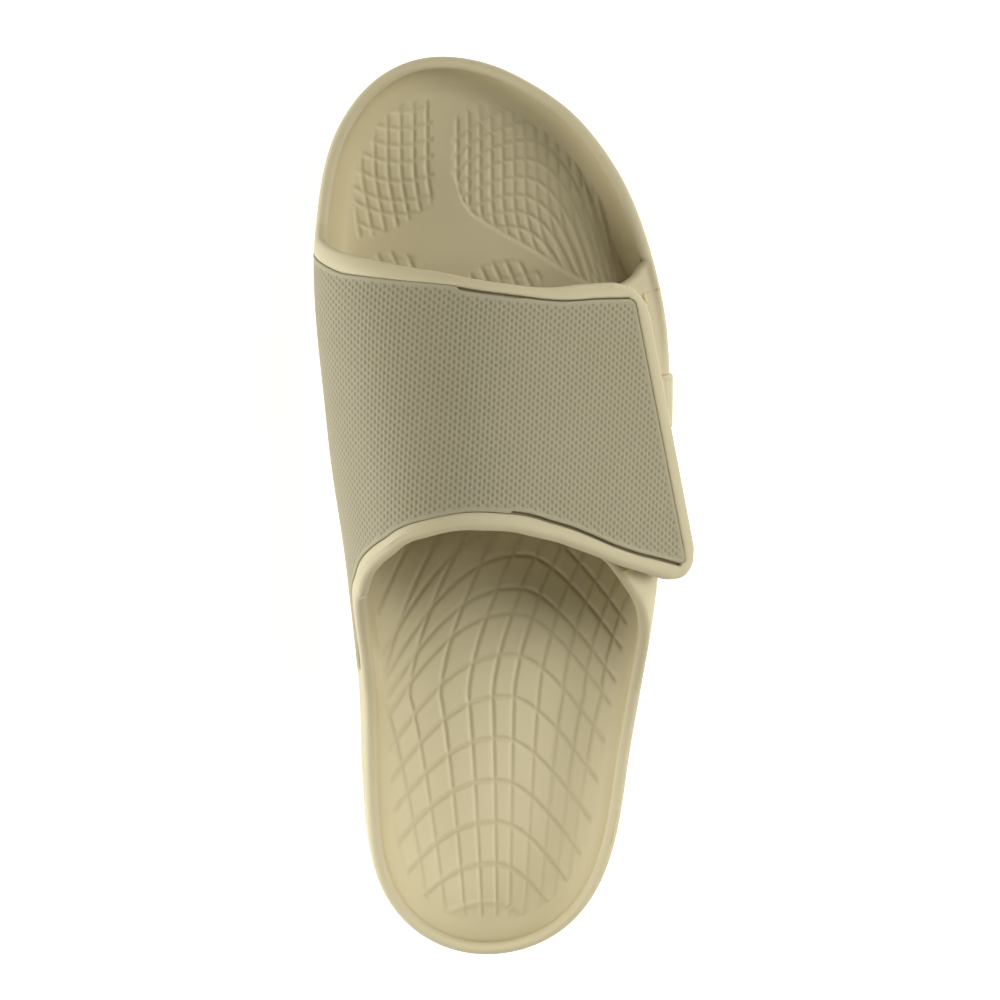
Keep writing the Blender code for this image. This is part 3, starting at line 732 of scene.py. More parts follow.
# Frame of the strap across its edge: run in from the edge and depth of the face
FRAME_RUN = np.array([0.0, 0.5, 1.1, 1.8, 2.4, 2.8, 3.02, 3.14, 3.22, 3.28, 3.34])
FRAME_SINK = np.array([0.0, -0.12, -0.20, -0.20, -0.13, 0.0, 0.14, 0.30, 0.6, 1.0, RECESS])
CORE = FRAME_RUN[-1]
PANEL_CORNER = CORNER - math.sqrt(CORNER ** 2 - (CORNER - CORE) ** 2)
ARC_RUN = np.array([0.15, 0.45, 0.95, 1.6, 2.4])
INNER = np.linspace(0, 1, 24)[1:-1]
SHARES = np.concatenate([np.linspace(0, 0.16, 30)[:-1], np.linspace(0.16, 1, 84)])
SUNK_COUNT = 2 * len(ARC_RUN) + len(INNER)
SIDE_SINK = np.concatenate([FRAME_SINK, np.full(SUNK_COUNT, RECESS), FRAME_SINK[::-1]])


# Finer course of the strap's edges: share, front and back towards the toe
EDGE_SHIFT = (
    (0.00, 0.0, 0.0),
    (0.05, 0.8, -1.2),
    (0.10, 1.3, -2.5),
    (0.15, 1.5, -3.4),
    (0.21, 1.6, -3.9),
    (0.31, 1.7, -3.0),
    (0.36, 1.75, -1.5),
    (0.41, 1.8, -0.8),
    (0.50, 1.8, 0.4),
    (0.61, 1.3, 1.3),
    (0.68, 0.9, 1.8),
    (0.76, 0.2, 2.8),
    (0.84, -0.5, 2.6),
    (0.92, -0.2, 2.3),
    (1.00, 0.3, 0.8),
)


def skin_sides(edges, share):
    """Front and back y of the skins between rounded edges: LENGTH times the row, less half a WALL."""
    rows = np.array(edges)
    front = hermite(share, rows[:, 0], rows[:, 1]) * LENGTH - WALL / 2
    return front, hermite(share, rows[:, 0], rows[:, 2]) * LENGTH + WALL / 2


def strap_sides(share):
    """Front and back y of the strap's skins at a share of its run."""
    finer = np.array(EDGE_SHIFT)
    front, back = skin_sides(STRAP_EDGES, share)
    front = front + hermite(share, finer[:, 0], finer[:, 1])
    return front, back + hermite(share, finer[:, 0], finer[:, 2])


def end_pull(near, run):
    """Draw-back of the flap's end near its corners, run in from the end."""
    outer = arc_back(CORNER, near)
    inner = np.where(near < CORE, outer, arc_back(PANEL_CORNER, near - CORE))
    share = np.clip(run / CORE, 0, 1)
    return outer * (1 - share) + inner * share


# Width of the frame as a share of its plain width: share of the run, front, back
FRAME_WIDE = (
    (0.00, 1.00, 1.25),
    (0.10, 1.25, 1.38),
    (0.21, 1.50, 1.38),
    (0.31, 1.32, 1.25),
    (0.45, 0.95, 1.05),
    (0.65, 0.70, 0.90),
    (0.84, 0.72, 0.56),
    (1.00, 0.92, 0.80),
)
FINE = np.linspace(0, 1, 401)


def frame_normals():
    """Inward unit normals (y, run) of the strap's front and back edges at FINE shares."""
    out = []
    for y, sign in zip(strap_sides(FINE), (-1, 1)):
        w = FINE * (strap_end(y) - CORE)
        dy = np.gradient(y)
        dw = np.gradient(w)
        length = np.hypot(dy, dw)
        fade = 1 - smooth((FINE - 0.75) / 0.25)
        out.append((sign * dw / length, -sign * dy / length * fade))
    return out


NORMALS = frame_normals()


def frame_line(share, run, side):
    """y, run along the strap and its offset, of points in from the front (0) or back (1) edge.

    Towards the rim the line swings away from the edge by 2.2 exp(-share / 0.014) of its run.
    """
    rows = np.array(FRAME_WIDE)
    edge_y = strap_sides(share)[side]
    ny = np.interp(share, FINE, NORMALS[side][0])
    nw = np.interp(share, FINE, NORMALS[side][1])
    ny = ny + (2 * side - 1) * 2.2 * np.exp(-share / 0.014)
    run = run * np.interp(share, rows[:, 0], rows[:, 1 + side])
    y = edge_y + run * ny
    near = np.abs(y - edge_y)
    w = share * (strap_end(y) - end_pull(near, CORE) - CORE)
    return y, w + run * nw, run * nw


def strap_grid():
    """y, run and sink of the strap's skin: frame, recess floor and the frame along its end."""
    share = SHARES[:, None]
    front, back = strap_sides(share)
    runs = np.concatenate([FRAME_RUN, CORE + ARC_RUN])
    left, _, left_off = frame_line(share, runs, 0)
    right, _, right_off = frame_line(share, runs[::-1], 1)
    y = np.concatenate([left, left[:, -1:] + INNER * (right[:, :1] - left[:, -1:]), right], 1)
    off = left_off[:, -1:] + INNER * (right_off[:, :1] - left_off[:, -1:])
    off = np.concatenate([left_off, off, right_off], 1)
    near = np.minimum(front - y, y - back)
    w = share * (strap_end(y) - end_pull(near, CORE) - CORE) + off
    ends = FRAME_RUN[::-1][1:, None]
    y = np.concatenate([y, np.repeat(y[-1:], len(ends), 0)])
    w = np.concatenate([w, strap_end(y[-1:]) - ends - end_pull(near[-1:], ends)])
    tip = np.concatenate([np.full(len(SHARES), RECESS), FRAME_SINK[::-1][1:]])
    return y, w, np.minimum(SIDE_SINK[None], tip[:, None])


STRAP_Y, STRAP_W, STRAP_SINK = strap_grid()
N_COLS = STRAP_Y.shape[1]
strap_outer = by_rows(strap_point, STRAP_Y, STRAP_W, STRAP_SINK)
# Along the flap's back edge the lining stops up to LINING_SHORT short, so the edge leans inward
LINING_SHORT = 1.6
LINING_FADE = 4.0
part = STRAP_W / strap_end(0.0)
short = LINING_SHORT * smooth((part - 0.5) / 0.15) * smooth((1.04 - part) / 0.12)
short = short * np.exp(-(STRAP_Y - STRAP_Y[:, -1:]) / LINING_FADE)
strap_inner = by_rows(strap_point, STRAP_Y + short, STRAP_W, np.full(STRAP_Y.shape, WALL))


def wing_grid():
    """y and run of the wing's skin, its columns closer together towards both edges."""
    share = (np.linspace(0, 1, 60) ** 1.25)[:, None]
    spread = 0.5 - 0.5 * np.cos(np.linspace(0, math.pi, 54))
    part = share + 0 * spread
    for _ in range(12):
        front, back = skin_sides(WING_EDGES, part)
        y = front + spread * (back - front)
        w = share * (wing_end(y) - arc_back(CORNER, np.minimum(front - y, y - back)))
        part = w / wing_end(y)
    return y, w


WING_Y, WING_W = wing_grid()
wing_outer = by_rows(wing_point, WING_Y, WING_W, np.zeros(WING_Y.shape))
wing_inner = by_rows(wing_point, WING_Y, WING_W, np.full(WING_Y.shape, WALL))

# Stations round the shoe: wing, toe, strap, heel
medial_turns = turn_at(STRAP_Y[0], False)
lateral_turns = turn_at(WING_Y[0], True)
N_WING = len(lateral_turns)
WING_PART = slice(0, N_WING)
toe_turns = np.linspace(lateral_turns[0], medial_turns[0], 160)[1:-1]
heel_turns = np.linspace(medial_turns[-1], lateral_turns[-1] + 2 * math.pi, 160)[1:-1]
turns = np.concatenate([lateral_turns[::-1], toe_turns, medial_turns, heel_turns])
m0 = N_WING + len(toe_turns)
STRAP_PART = slice(m0, m0 + N_COLS)
low_z = seam(turns)
rim_z = rim(turns)
top_z = rim_z.copy()
top_z[STRAP_PART] += STRAP_W[0]

# Rows of the wall: plain foot, the frame under the panel, then the recess up to the rim
LOW_RUN = (0.6, 1.4, 2.2, 2.8, 3.02, 3.14, 3.22, 3.34)
LOW_SINK = (-0.10, -0.20, -0.15, 0.0, 0.14, 0.30, 0.6, RECESS)
z_rows = [low_z, low_z + 0.5 * (PANEL_LOW - FRAME)]
for step in LOW_RUN:
    z_rows.append(low_z + PANEL_LOW - FRAME + step)
for share in np.linspace(0, 1, 14)[1:]:
    z_rows.append(z_rows[9] + (top_z - z_rows[9]) * share)
z_rows = np.array(z_rows)
ring_sink = np.zeros(z_rows.shape)
ring_sink[10:, STRAP_PART] = SIDE_SINK
for row, sink in enumerate(LOW_SINK):
    ring_sink[2 + row, STRAP_PART] = np.where(SIDE_SINK > 0.2, np.minimum(SIDE_SINK, sink), 0.0)


def ring_skin():
    """Outer skin of the wall, joined to the strap and the wing at the rim."""
    w = z_rows - rim_z
    shape = z_rows.shape
    skin = wall_point(np.broadcast_to(turns, shape), z_rows, ring_sink)
    for part, face, y, top in (
        (STRAP_PART, strap_point, STRAP_Y[0], strap_outer[0]),
        (WING_PART, wing_point, WING_Y[0, ::-1], wing_outer[0, ::-1]),
    ):
        y = np.broadcast_to(y, (shape[0], len(y)))
        skin[:, part] = by_rows(face, y, w[:, part], ring_sink[:, part])
        skin[-1, part] = top
    return skin


def ring_lining():
    """Inner skin of the wall: depth WALL + foot run (1 - s)^2 from the footbed to the rim."""
    s = np.linspace(0, 1, 18)[:, None]
    low = bed_edge(turns)
    z = low + (top_z - low) * s
    skin = wall_point(np.broadcast_to(turns, z.shape), z, WALL + foot_run(turns) * (1 - s) ** 2)
    skin[-1, STRAP_PART] = strap_inner[0]
    skin[-1, WING_PART] = wing_inner[0, ::-1]
    return skin


def loop(wing, ring, strap):
    """Free edge of the upper, walked round the shoe once."""
    return np.concatenate([
        wing[0, -1:], wing[1:, -1], wing[-1, -2:0:-1], wing[::-1, 0],
        ring[-1, N_WING:m0], strap[:, 0], strap[-1, 1:-1], strap[::-1, -1], ring[-1, m0 + N_COLS:],
    ])


def round_edge(outer, inner, segments):
    """Half-round edge: mid + across cos(a) + away sin(a), a from 0 to pi."""
    mid = (outer + inner) / 2
    tangent = np.roll(mid, -1, 0) - np.roll(mid, 1, 0)
    tangent = tangent / np.linalg.norm(tangent, axis=-1, keepdims=True)
    for _ in range(2):
        tangent = tangent * 2 + np.roll(tangent, -1, 0) + np.roll(tangent, 1, 0)
    across = (outer - inner) / 2
    away = np.cross(across, tangent)
    away = away / np.linalg.norm(away, axis=-1, keepdims=True)
    size = np.linalg.norm(across, axis=-1, keepdims=True)
    a = np.linspace(0, math.pi, segments + 1)[:, None, None]
    return mid + across * np.cos(a) + away * size * np.sin(a)


ring_outer = ring_skin()
ring_inner = ring_lining()
outer_loop = loop(wing_outer, ring_outer, strap_outer)
inner_loop = loop(wing_inner, ring_inner, strap_inner)
edge = round_edge(outer_loop, inner_loop, 12)
foot_strip = np.array([ring_outer[0], ring_inner[0]])
solid("upper_shell", [
    (closed(ring_outer), 0, row_fold(ring_outer, 0)),
    (closed(ring_inner), 0, row_fold(ring_inner, 0)),
    (closed(foot_strip), 0, 1),
    # painted shade: the strap's skin darkens with the deep tone where it sinks into the recess under
    # the panel
    (strap_outer, smooth((STRAP_SINK - 0.7) / 0.6), 0),
    (strap_inner, 0, 0),
    (wing_outer, 0, 0),
    (wing_inner, 0, 0),
    (closed(edge), 0, 0),
], upper_foam, "upper")


def dimples(y, w):
    """Staggered pits: columns DIMPLE_RUN apart along the strap, DIMPLE_LONG apart in a column."""
    u = w / DIMPLE_RUN
    column = np.round(u)
    v = y / DIMPLE_LONG + 0.5 * np.mod(column, 2)
    across = (u - column) * DIMPLE_RUN / 0.50
    along = (v - np.round(v)) * DIMPLE_LONG / 0.66
    return np.exp(-across ** 2 - along ** 2)


def slit(share, front):
    """Width of the open slit beside the panel: none on the medial side, then open on the flap."""
    if front:
        opened = smooth((share - 0.515) / 0.010)
        width = 0.92 - 0.42 * smooth((share - 0.66) / 0.04) - 0.14 * smooth((share - 0.78) / 0.05)
    else:
        opened = smooth((share - 0.580) / 0.010)
        width = 0.86
    return -0.04 + (width + 0.04) * opened


def panel_places():
    """y, run and nearness to the border of the panel's points, on the dimples' own lattice.

    Lattice lines past the border slide onto a line just inside it, and three lines follow it.
    """
    table_y = np.linspace(-75, 100, 351)
    table_end = strap_end(table_y)
    low_turn = turn_at(table_y, False)
    table_low = seam(low_turn) + PANEL_LOW - FRAME + CORE - rim(low_turn)
    front_y, front_w, _ = frame_line(FINE, CORE, 0)
    back_y, back_w, _ = frame_line(FINE, CORE, 1)
    inset = np.array([0.0, 0.22, 0.6])
    lattice_w = np.arange(-45, 412) * DIMPLE_RUN / 4
    lattice_y = np.arange(152, -112, -1) * DIMPLE_LONG / 4
    n_rows = len(lattice_w) + 2 * len(inset)
    n_cols = len(lattice_y) + 2 * len(inset)
    y = np.concatenate([np.full(3, 70.0), lattice_y, np.full(3, -30.0)])
    y = np.broadcast_to(y, (n_rows, n_cols))
    w = np.zeros((n_rows, n_cols)) + 40.0


    def borders(run, share):
        """y of the front and back border at a run, drawn back by the slits."""
        front = np.interp(run, front_w, front_y) - slit(share, True)
        return front, np.interp(run, back_w, back_y) + slit(share, False)

    for _ in range(6):
        end = np.interp(y, table_y, table_end)
        low = np.interp(y, table_y, table_low)
        share = np.clip(w / (end - CORE), 0, 1)
        first, last = borders(w, share)
        near = np.clip(np.minimum(first - y, y - last), 0, 99) + CORE
        stop = end - end_pull(near, CORE) - CORE - 0.30
        rows = np.clip(lattice_w[:, None], low[3:-3] + 0.95, stop[3:-3] - 0.95)
        w = np.concatenate([low[:3] + inset[:, None], rows, stop[-3:] - inset[::-1, None]])
        first, last = borders(w, share)
        cols = np.clip(lattice_y[None], last[:, 3:-3] + 0.95, first[:, 3:-3] - 0.95)
        y = np.concatenate([first[:, :3] - inset, cols, last[:, -3:] + inset[::-1]], 1)
    border = np.minimum(np.minimum(first - y, y - last), np.minimum(w - low, stop - w))
    return y, w, np.maximum(border, 0)


def zip_faces(fine, coarse):
    """Triangles between a row of fine points and a row of coarse points numbered after it."""
    k = np.floor(np.arange(fine) * (coarse - 1) / (fine - 1)).astype(int)
    j = np.arange(fine - 1)
    fan = np.stack([j, j + 1, fine + k[:-1]], 1)
    step = np.nonzero(k[1:] > k[:-1])[0]
    return np.concatenate([fan, np.stack([step + 1, fine + k[step + 1], fine + k[step]], 1)])


def build_panel():
    """Dimpled skin with a thin lip along its border, over a plain back."""
    y, w, border = panel_places()
    pit = dimples(y, w) * smooth((border - 0.95) / 0.8)
    lip = 0.12 * np.exp(-((border - 0.55) / 0.3) ** 2) - 0.20 * (1 - smooth(border / 0.25))
    face = by_rows(strap_point, y, w, -(PANEL_PROUD + lip - DIMPLE_DEPTH * pit))
    deep = np.full(y.shape, RECESS - 0.1)
    sides = by_rows(strap_point, y[:, [0, -1]], w[:, [0, -1]], deep[:, [0, -1]])
    ends = by_rows(strap_point, y[[0, -1]], w[[0, -1]], deep[[0, -1]])
    t = np.linspace(0, 1, 9)
    back_y = y[1:-1, :1] * (1 - t) + y[1:-1, -1:] * t
    back_w = w[1:-1, :1] * (1 - t) + w[1:-1, -1:] * t
    back = by_rows(strap_point, back_y, back_w, np.full(back_y.shape, RECESS - 0.1))
    back[:, 0] = sides[1:-1, 0]
    back[:, -1] = sides[1:-1, 1]
    # painted shade: the deep tone darkens the dimple pits
    patches = [(face, pit * 0.9, border_fold(y)), (back, 0, 0)]
    patches.append((np.stack([face[:, 0], sides[:, 0]]), 0, 1))
    patches.append((np.stack([face[:, -1], sides[:, 1]]), 0, 1))
    for row, inner in ((0, 0), (-1, -1)):
        patches.append((np.stack([face[row], ends[row]]), 0, 1))
        points = np.concatenate([ends[row], back[inner]])
        patches.append((points, 0, zip_faces(face.shape[1], 9)))
    solid("dimpled_panel", patches, panel_foam, "strap_panel")


build_panel()


# Footbed and sole
def bed_ring(turn):
    """Edge of the footbed: foot of the upper's inner skin."""
    place = wall_point(turn, bed_edge(turn), WALL + foot_run(turn))
    place[..., 2] -= 0.02
    return place


probe = np.linspace(0, 2 * math.pi, 2401)[:-1]
ring = bed_ring(probe)
ring_slope = (rim(probe) - bed_edge(probe)) / (2 * foot_run(probe))


def sole_stations():
    """Turns round the shoe that pair lateral and medial points at the same y, heel to toe."""
    low = ring[:, 1].argmin()
    high = ring[:, 1].argmax()
    low_y = ring[low, 1]
    high_y = ring[high, 1]
    lead = (np.arange(1, 17) / 16.0) ** 2 * 7.0
    y = np.concatenate([low_y + lead, np.arange(low_y + 7.5, -14.0, 0.52), np.arange(-12.5, 64.0, 1.5),
                        np.arange(64.0, high_y - 7.2, 0.56), high_y - lead[::-1]])
    order = np.roll(np.arange(len(probe)), -low)
    split = (high - low) % len(probe)
    lateral = order[:split + 1]
    medial = np.concatenate([order[split:], order[:1]])[::-1]
    right = np.where(probe[lateral] > math.pi * 1.5, probe[lateral] - 2 * math.pi, probe[lateral])
    left = np.where(probe[medial] < math.pi * 0.5, probe[medial] + 2 * math.pi, probe[medial])
    right = np.interp(y, ring[lateral, 1], right)
    left = np.interp(y, ring[medial, 1], left)
    heel = probe[low] if probe[low] < math.pi else probe[low] - 2 * math.pi
    return np.concatenate([[heel], right, [probe[high]], left[::-1]]), len(y) + 2


sole_turns, M = sole_stations()


def ladder(around, columns):
    """Rows across the shoe between the lateral and medial halves of a ring."""
    lateral = around[:M]
    medial = np.concatenate([around[:1], around[:M - 1:-1], around[M - 1:M]])
    t = np.linspace(0, 1, columns)[None, :, None]
    return lateral[:, None] * (1 - t) + medial[:, None] * t


def from_edge(x, y):
    """Distance in from the footbed's edge, the edge's height and its slope, row by row."""
    flat = ring[:, :2]
    ahead = np.roll(flat, -1, 0) - np.roll(flat, 1, 0)
    ahead = ahead / np.linalg.norm(ahead, axis=1, keepdims=True)
    inner = np.stack([-ahead[:, 1], ahead[:, 0]], 1)
    out = []
    for a, b in zip(x, y):
        k = ((a[:, None] - flat[None, :, 0]) ** 2 + (b[:, None] - flat[None, :, 1]) ** 2).argmin(1)
        far = (a - flat[k, 0]) * inner[k, 0] + (b - flat[k, 1]) * inner[k, 1]
        out.append(np.stack([np.maximum(far, 0), ring[k, 2], ring_slope[k]]))
    return np.stack(out, 1)


def crest(distance):
    """Cross-section of a groove: exp(-(d / GROOVE_HALF)^2)."""
    return np.exp(-(distance / GROOVE_HALF) ** 2)


def soft(d):
    """Mask that opens over 1.2 mm."""
    return np.clip(d / 1.2 + 0.5, 0, 1)


# Heel arcs: apex x and y.  Heel fan: x of each line at FAN_Y
HEEL_ARCS = (
    (5.6, -6.0), (5.3, -15.8), (3.4, -26.4), (2.4, -34.6), (1.4, -47.9), (-0.2, -61.3), (-1.8, -74.7),
    (-3.0, -88.2), (-3.4, -101.6), (-4.0, -115.0), (-4.6, -127.2),
)
FAN_Y = -61.3
FAN_X = (-61.0, -53.5, -46.0, -37.9, -29.5, -19.6, -10.6, -2.8, 4.0, 12.0, 19.7, 26.7, 32.4)


def heel_net(x, y):
    """Bell arcs crossed by a fan of long lines that leans outward towards the strap.

    An arc falls 0.0222 dx^2 to the medial side and 15.5 (sqrt(1 + ((dx - 2) / 13)^2) - 1) +
    0.004 dx^2 to the lateral side.  A line shifts 13.8 t^1.6 ahead of FAN_Y and closes in behind it.
    """
    arcs = np.zeros(x.shape)
    for apex_x, apex_y in HEEL_ARCS:
        dx = x - apex_x
        far = np.maximum(dx - 2.0, 0)
        bell = np.sqrt(1 + (far / 13.0) ** 2)
        drop = np.where(dx < 0, 0.0222 * dx ** 2, 15.5 * (bell - 1) + 0.004 * dx ** 2)
        slope = np.where(dx < 0, 0.0444 * dx, 15.5 * far / (169.0 * bell) + 0.008 * dx)
        arcs = np.maximum(arcs, crest((y - apex_y + drop) / np.sqrt(1 + slope ** 2)))
    t = np.clip((y - FAN_Y) / 43.8, 0, 1.5)
    close = 1 - 0.34 * (np.clip((FAN_Y - y) / 59.0, 0, 1.2) + 1e-9) ** 0.8
    start = 0.5 + (x - 13.8 * t ** 1.6 - 0.5) / close
    tilt = 0.504 * t ** 0.6
    far = np.abs(start[..., None] - np.array(FAN_X)).min(-1)
    lines = crest(far * close / np.sqrt(1 + tilt ** 2))
    faint = 0.95 - 0.40 * smooth((-70.0 - y) / 30.0)
    return np.maximum(arcs, lines * faint)


# Toe fields: borders as tables of y and x
FIELD_A_LEFT = ((85.0, -46.8), (96.8, -46.8), (101.6, -48.0), (109.9, -45.6), (113.1, -44.7),
                (118.9, -40.6), (123.7, -40.2), (127.3, -36.1), (131.0, -30.0))
FIELD_A_RIGHT = ((95.9, -23.1), (100.8, -21.9), (112.2, -21.9), (122.0, -22.2), (129.4, -23.1))
FIELD_A_LOW = ((-46.8, 86.2), (-38.2, 87.3), (-30.0, 91.8), (-23.1, 95.9))
FIELD_A_ARCS = (87.6, 93.7, 98.0, 104.2, 110.3, 115.6, 121.0, 126.4)
FIELD_B_LOW = ((-14.7, 105.0), (-14.0, 103.2), (-12.5, 98.5), (-9.3, 94.3), (-5.4, 91.7), (-1.4, 89.2),
               (5.7, 85.2), (10.6, 82.5), (15.5, 79.3), (20.4, 76.0), (25.3, 73.4), (40.0, 66.0))
FIELD_B_ARCS = (84.8, 89.7, 94.6, 99.8, 105.5, 111.3, 117.0, 122.6, 128.2)


def table(value, rows):
    """Straight lines between the rows."""
    rows = np.array(rows)
    return np.interp(value, rows[:, 0], rows[:, 1])


def nearest_line(value, lines):
    """Distance to the nearest of some values."""
    return np.abs(value[..., None] - np.array(lines)).min(-1)


def off_step(value, pitch):
    """Distance to the nearest multiple of a pitch."""
    return np.abs(value / pitch - np.round(value / pitch)) * pitch


def toe_net(x, y):
    """Two netted fields in the toe, parted by a smooth band.

    Medial field: arcs y = c + 0.0197 (x + 32.7)^2 and lines that bend outward below y = 110.
    Lateral field: arcs that fall 0.0395 dx^2 to the lateral side, 0.0205 dx^2 to the medial.
    """
    t = np.maximum(110.0 - y, 0)
    u = x - 0.21 * (np.sqrt(t ** 2 + 45.3) - 6.73)
    lines = off_step(u + 40.7, 4.2)
    arcs = nearest_line(y - 0.0197 * (x + 32.7) ** 2, FIELD_A_ARCS)
    first = np.maximum(crest(lines), crest(arcs))
    open_a = soft(table(y, FIELD_A_RIGHT) - x) * soft(x - table(y, FIELD_A_LEFT))
    open_a = open_a * soft(y - table(x, FIELD_A_LOW)) * soft(129.5 - y)
    apex = 5.0 + 0.18 * (y - 100.0)
    dx = x - apex
    fall = np.where(dx > 0, 0.0395, 0.0205) * dx ** 2
    slope = np.where(dx > 0, 0.079, 0.041) * dx
    arcs = nearest_line(y + fall, FIELD_B_ARCS) / np.sqrt(1 + slope ** 2)
    u = x - 0.0105 * np.maximum(100.5 - y, 0) ** 2
    second = np.maximum(crest(off_step(u - 0.5, 3.66)) * 0.9, crest(arcs))
    low = y - table(x, FIELD_B_LOW)
    open_b = soft(low) * soft(x + 15.6 + 0.25 * np.maximum(y - 118, 0))
    open_b = open_b * soft(129.5 - 0.02 * (x - 2.0) ** 2 - y)
    border = crest(low * 0.87) * smooth((x + 15.0) / 2.0) * 0.7
    return np.maximum(np.maximum(first * open_a, second * open_b), border)


def ball_net(x, y):
    """Two netted fields that run back under the strap."""
    out = np.zeros(x.shape)
    for centre_x, top_y, half, pitch in ((-35.4, 81.6, 11.0, 4.7), (1.3, 79.0, 11.5, 4.4)):
        dx = x - centre_x
        lines = off_step(dx + 0.45 * (y - top_y), pitch) / 1.1
        arcs = off_step(y - 0.2 * dx, 5.6)
        cover = soft(top_y - 0.035 * dx ** 2 - y) * soft(half - np.abs(dx))
        out = np.maximum(out, np.maximum(crest(lines), crest(arcs) * 0.7) * cover)
    return out


edge_in = bed_ring(sole_turns)
bed = ladder(edge_in, 172)
gx = bed[..., 0] + SHIFT[0]
gy = bed[..., 1]
rim_place = bed[..., 2].copy()
run_in, edge_z, edge_slope = from_edge(bed[..., 0], bed[..., 1])
base_z = middle(gy)
rise_z = np.maximum(edge_z - base_z, 0.5)
u = np.clip(1 - run_in / BED_REACH, 0, 1)
steep = np.clip((edge_slope * BED_REACH / rise_z - 2.2) / 9.8, -0.1, 0.75)
bed[..., 2] = base_z + (edge_z - base_z) * ((1 - steep) * u ** 2.2 + steep * u ** 12)
inside = np.clip((run_in - 0.3) / 0.8, 0, 1)
heel_part = heel_net(gx, gy) * smooth((1.0 - gy) / 6.0) * smooth((gy + 132.0) / 2.5)
toe_part = toe_net(gx, gy) * smooth((gy - 62.0) / 4.0)
ball_part = ball_net(gx, gy) * smooth((gy - 14.0) / 6.0)
groove = np.maximum(np.maximum(heel_part, toe_part * 0.75), ball_part * 0.75) * inside
bed_fold = border_fold(groove)
bed[..., 2] = np.where(bed_fold > 0, rim_place, bed[..., 2] - GROOVE_DEPTH * groove)


def sole_ring(inset, z):
    """Ring round the sole at a height, inset from the outline along its normal."""
    xy = outline(sole_turns) + inward(sole_turns) * np.broadcast_to(inset, sole_turns.shape)[:, None]
    return np.concatenate([xy, np.broadcast_to(z, sole_turns.shape)[:, None]], -1)


# Side of the sole: share of its height and inset from the outline
SIDE = ((0.0, GROUND_TUCK + 0.6), (0.02, GROUND_TUCK - 0.6), (0.08, 3.2), (0.16, 2.1), (0.24, 1.6),
        (0.42, 1.15), (0.455, 1.0), (0.475, 0.5), (0.495, 0.1), (0.53, 0.0), (0.78, 0.0), (1.0, 0.2))
LUG_FADE = 0.14
LUG_Y = np.array([-0.390, -0.338, -0.286, -0.233, 0.063, 0.125, 0.188, 0.251, 0.314, 0.373]) * LENGTH
station_y = -np.cos(sole_turns) * LENGTH / 2
to_lug = np.abs(station_y[:, None] - LUG_Y).min(1)
lugs = np.clip((LUG_GROOVE / 2 + 0.3 - to_lug) / 0.6, 0, 1)
floor_z = ground(sole_turns)
tall = seam(sole_turns) - 0.02 - floor_z
side_rings = []
for share, inset in SIDE:
    notch = lugs * LUG_DEPTH * np.clip(1 - share / LUG_FADE, 0, 1)
    side_rings.append(sole_ring(inset, floor_z + tall * share + notch))
side_rings = np.array(side_rings + [edge_in])


def tread(x, y):
    """Wavy sipes across the heel and the ball: y + 2.4 cos(x / 4.5) at steps of TREAD_PITCH."""
    v = (y + 2.4 * np.cos(x / 4.5)) / TREAD_PITCH
    sipe = np.exp(-((v - np.round(v)) * TREAD_PITCH / 0.75) ** 2)
    ball = smooth((y - 14.0) / 4.0) * smooth((110.0 - y) / 4.0)
    return sipe * np.maximum(smooth((-66.0 - y) / 4.0), ball)


under = ladder(side_rings[0], 24)
half_way = 1 - np.abs(np.linspace(-1, 1, 24))[None]
near_lug = np.clip((LUG_GROOVE / 2 + 1.2 - np.abs(under[..., 1, None] - LUG_Y).min(-1)) / 0.8, 0, 1)
pressed = tread(under[..., 0], under[..., 1]) * smooth((half_way - 0.08) / 0.1) * (1 - near_lug)
under[..., 2] += TREAD_DEPTH * pressed
solid("sole_body", [
    (closed(side_rings), 0, row_fold(side_rings, -1)),
    # painted shade: the deep tone darkens the tread sipes and the footbed grooves
    (under, pressed * 0.10, 0),
    (bed, groove * 0.16, bed_fold),
], sole_foam, "sole")


# Plain plaque on the lateral wall: rounded, with a raised rim round a ribbed field
def build_plaque():
    """Rounded rectangle x = u sqrt(1 - 0.3 v^2), raised by a quarter-round at its border."""
    u = np.linspace(-1, 1, 69)[:, None]
    v = np.linspace(-1, 1, 57)[None]
    long = 8.5 * u * np.sqrt(1 - 0.3 * v ** 2) / math.sqrt(0.94)
    tall_w = 6.5 * v * np.sqrt(1 - 0.3 * u ** 2) / math.sqrt(0.94)
    border = np.minimum((1 - np.abs(u)) * 8.5, (1 - np.abs(v)) * 6.5)
    rounded = np.sqrt(1 - (1 - np.clip(border / 0.9, 0, 1)) ** 2)
    field = smooth((border - 1.5) / 0.5)
    ribs = 0.10 * np.cos(tall_w * 2 * math.pi / 1.8) * field
    height = 1.15 * rounded - 0.35 * field + ribs
    y = 0.1167 * LENGTH + long
    w = 0.52 + tall_w
    top = by_rows(wing_point, y, w, -height)
    back = by_rows(wing_point, y, w, np.full(y.shape, 0.25))
    walk = [np.stack([top[0], back[0]]), np.stack([top[-1], back[-1]])]
    walk += [np.stack([top[:, 0], back[:, 0]]), np.stack([top[:, -1], back[:, -1]])]
    # painted shade: the deep tone darkens the sunk field a little
    patches = [(top, field * 0.06, 0), (back, 0, 0)] + [(side, 0, 0) for side in walk]
    solid("plain_plaque", patches, badge_foam, "side_badge")


build_plaque()


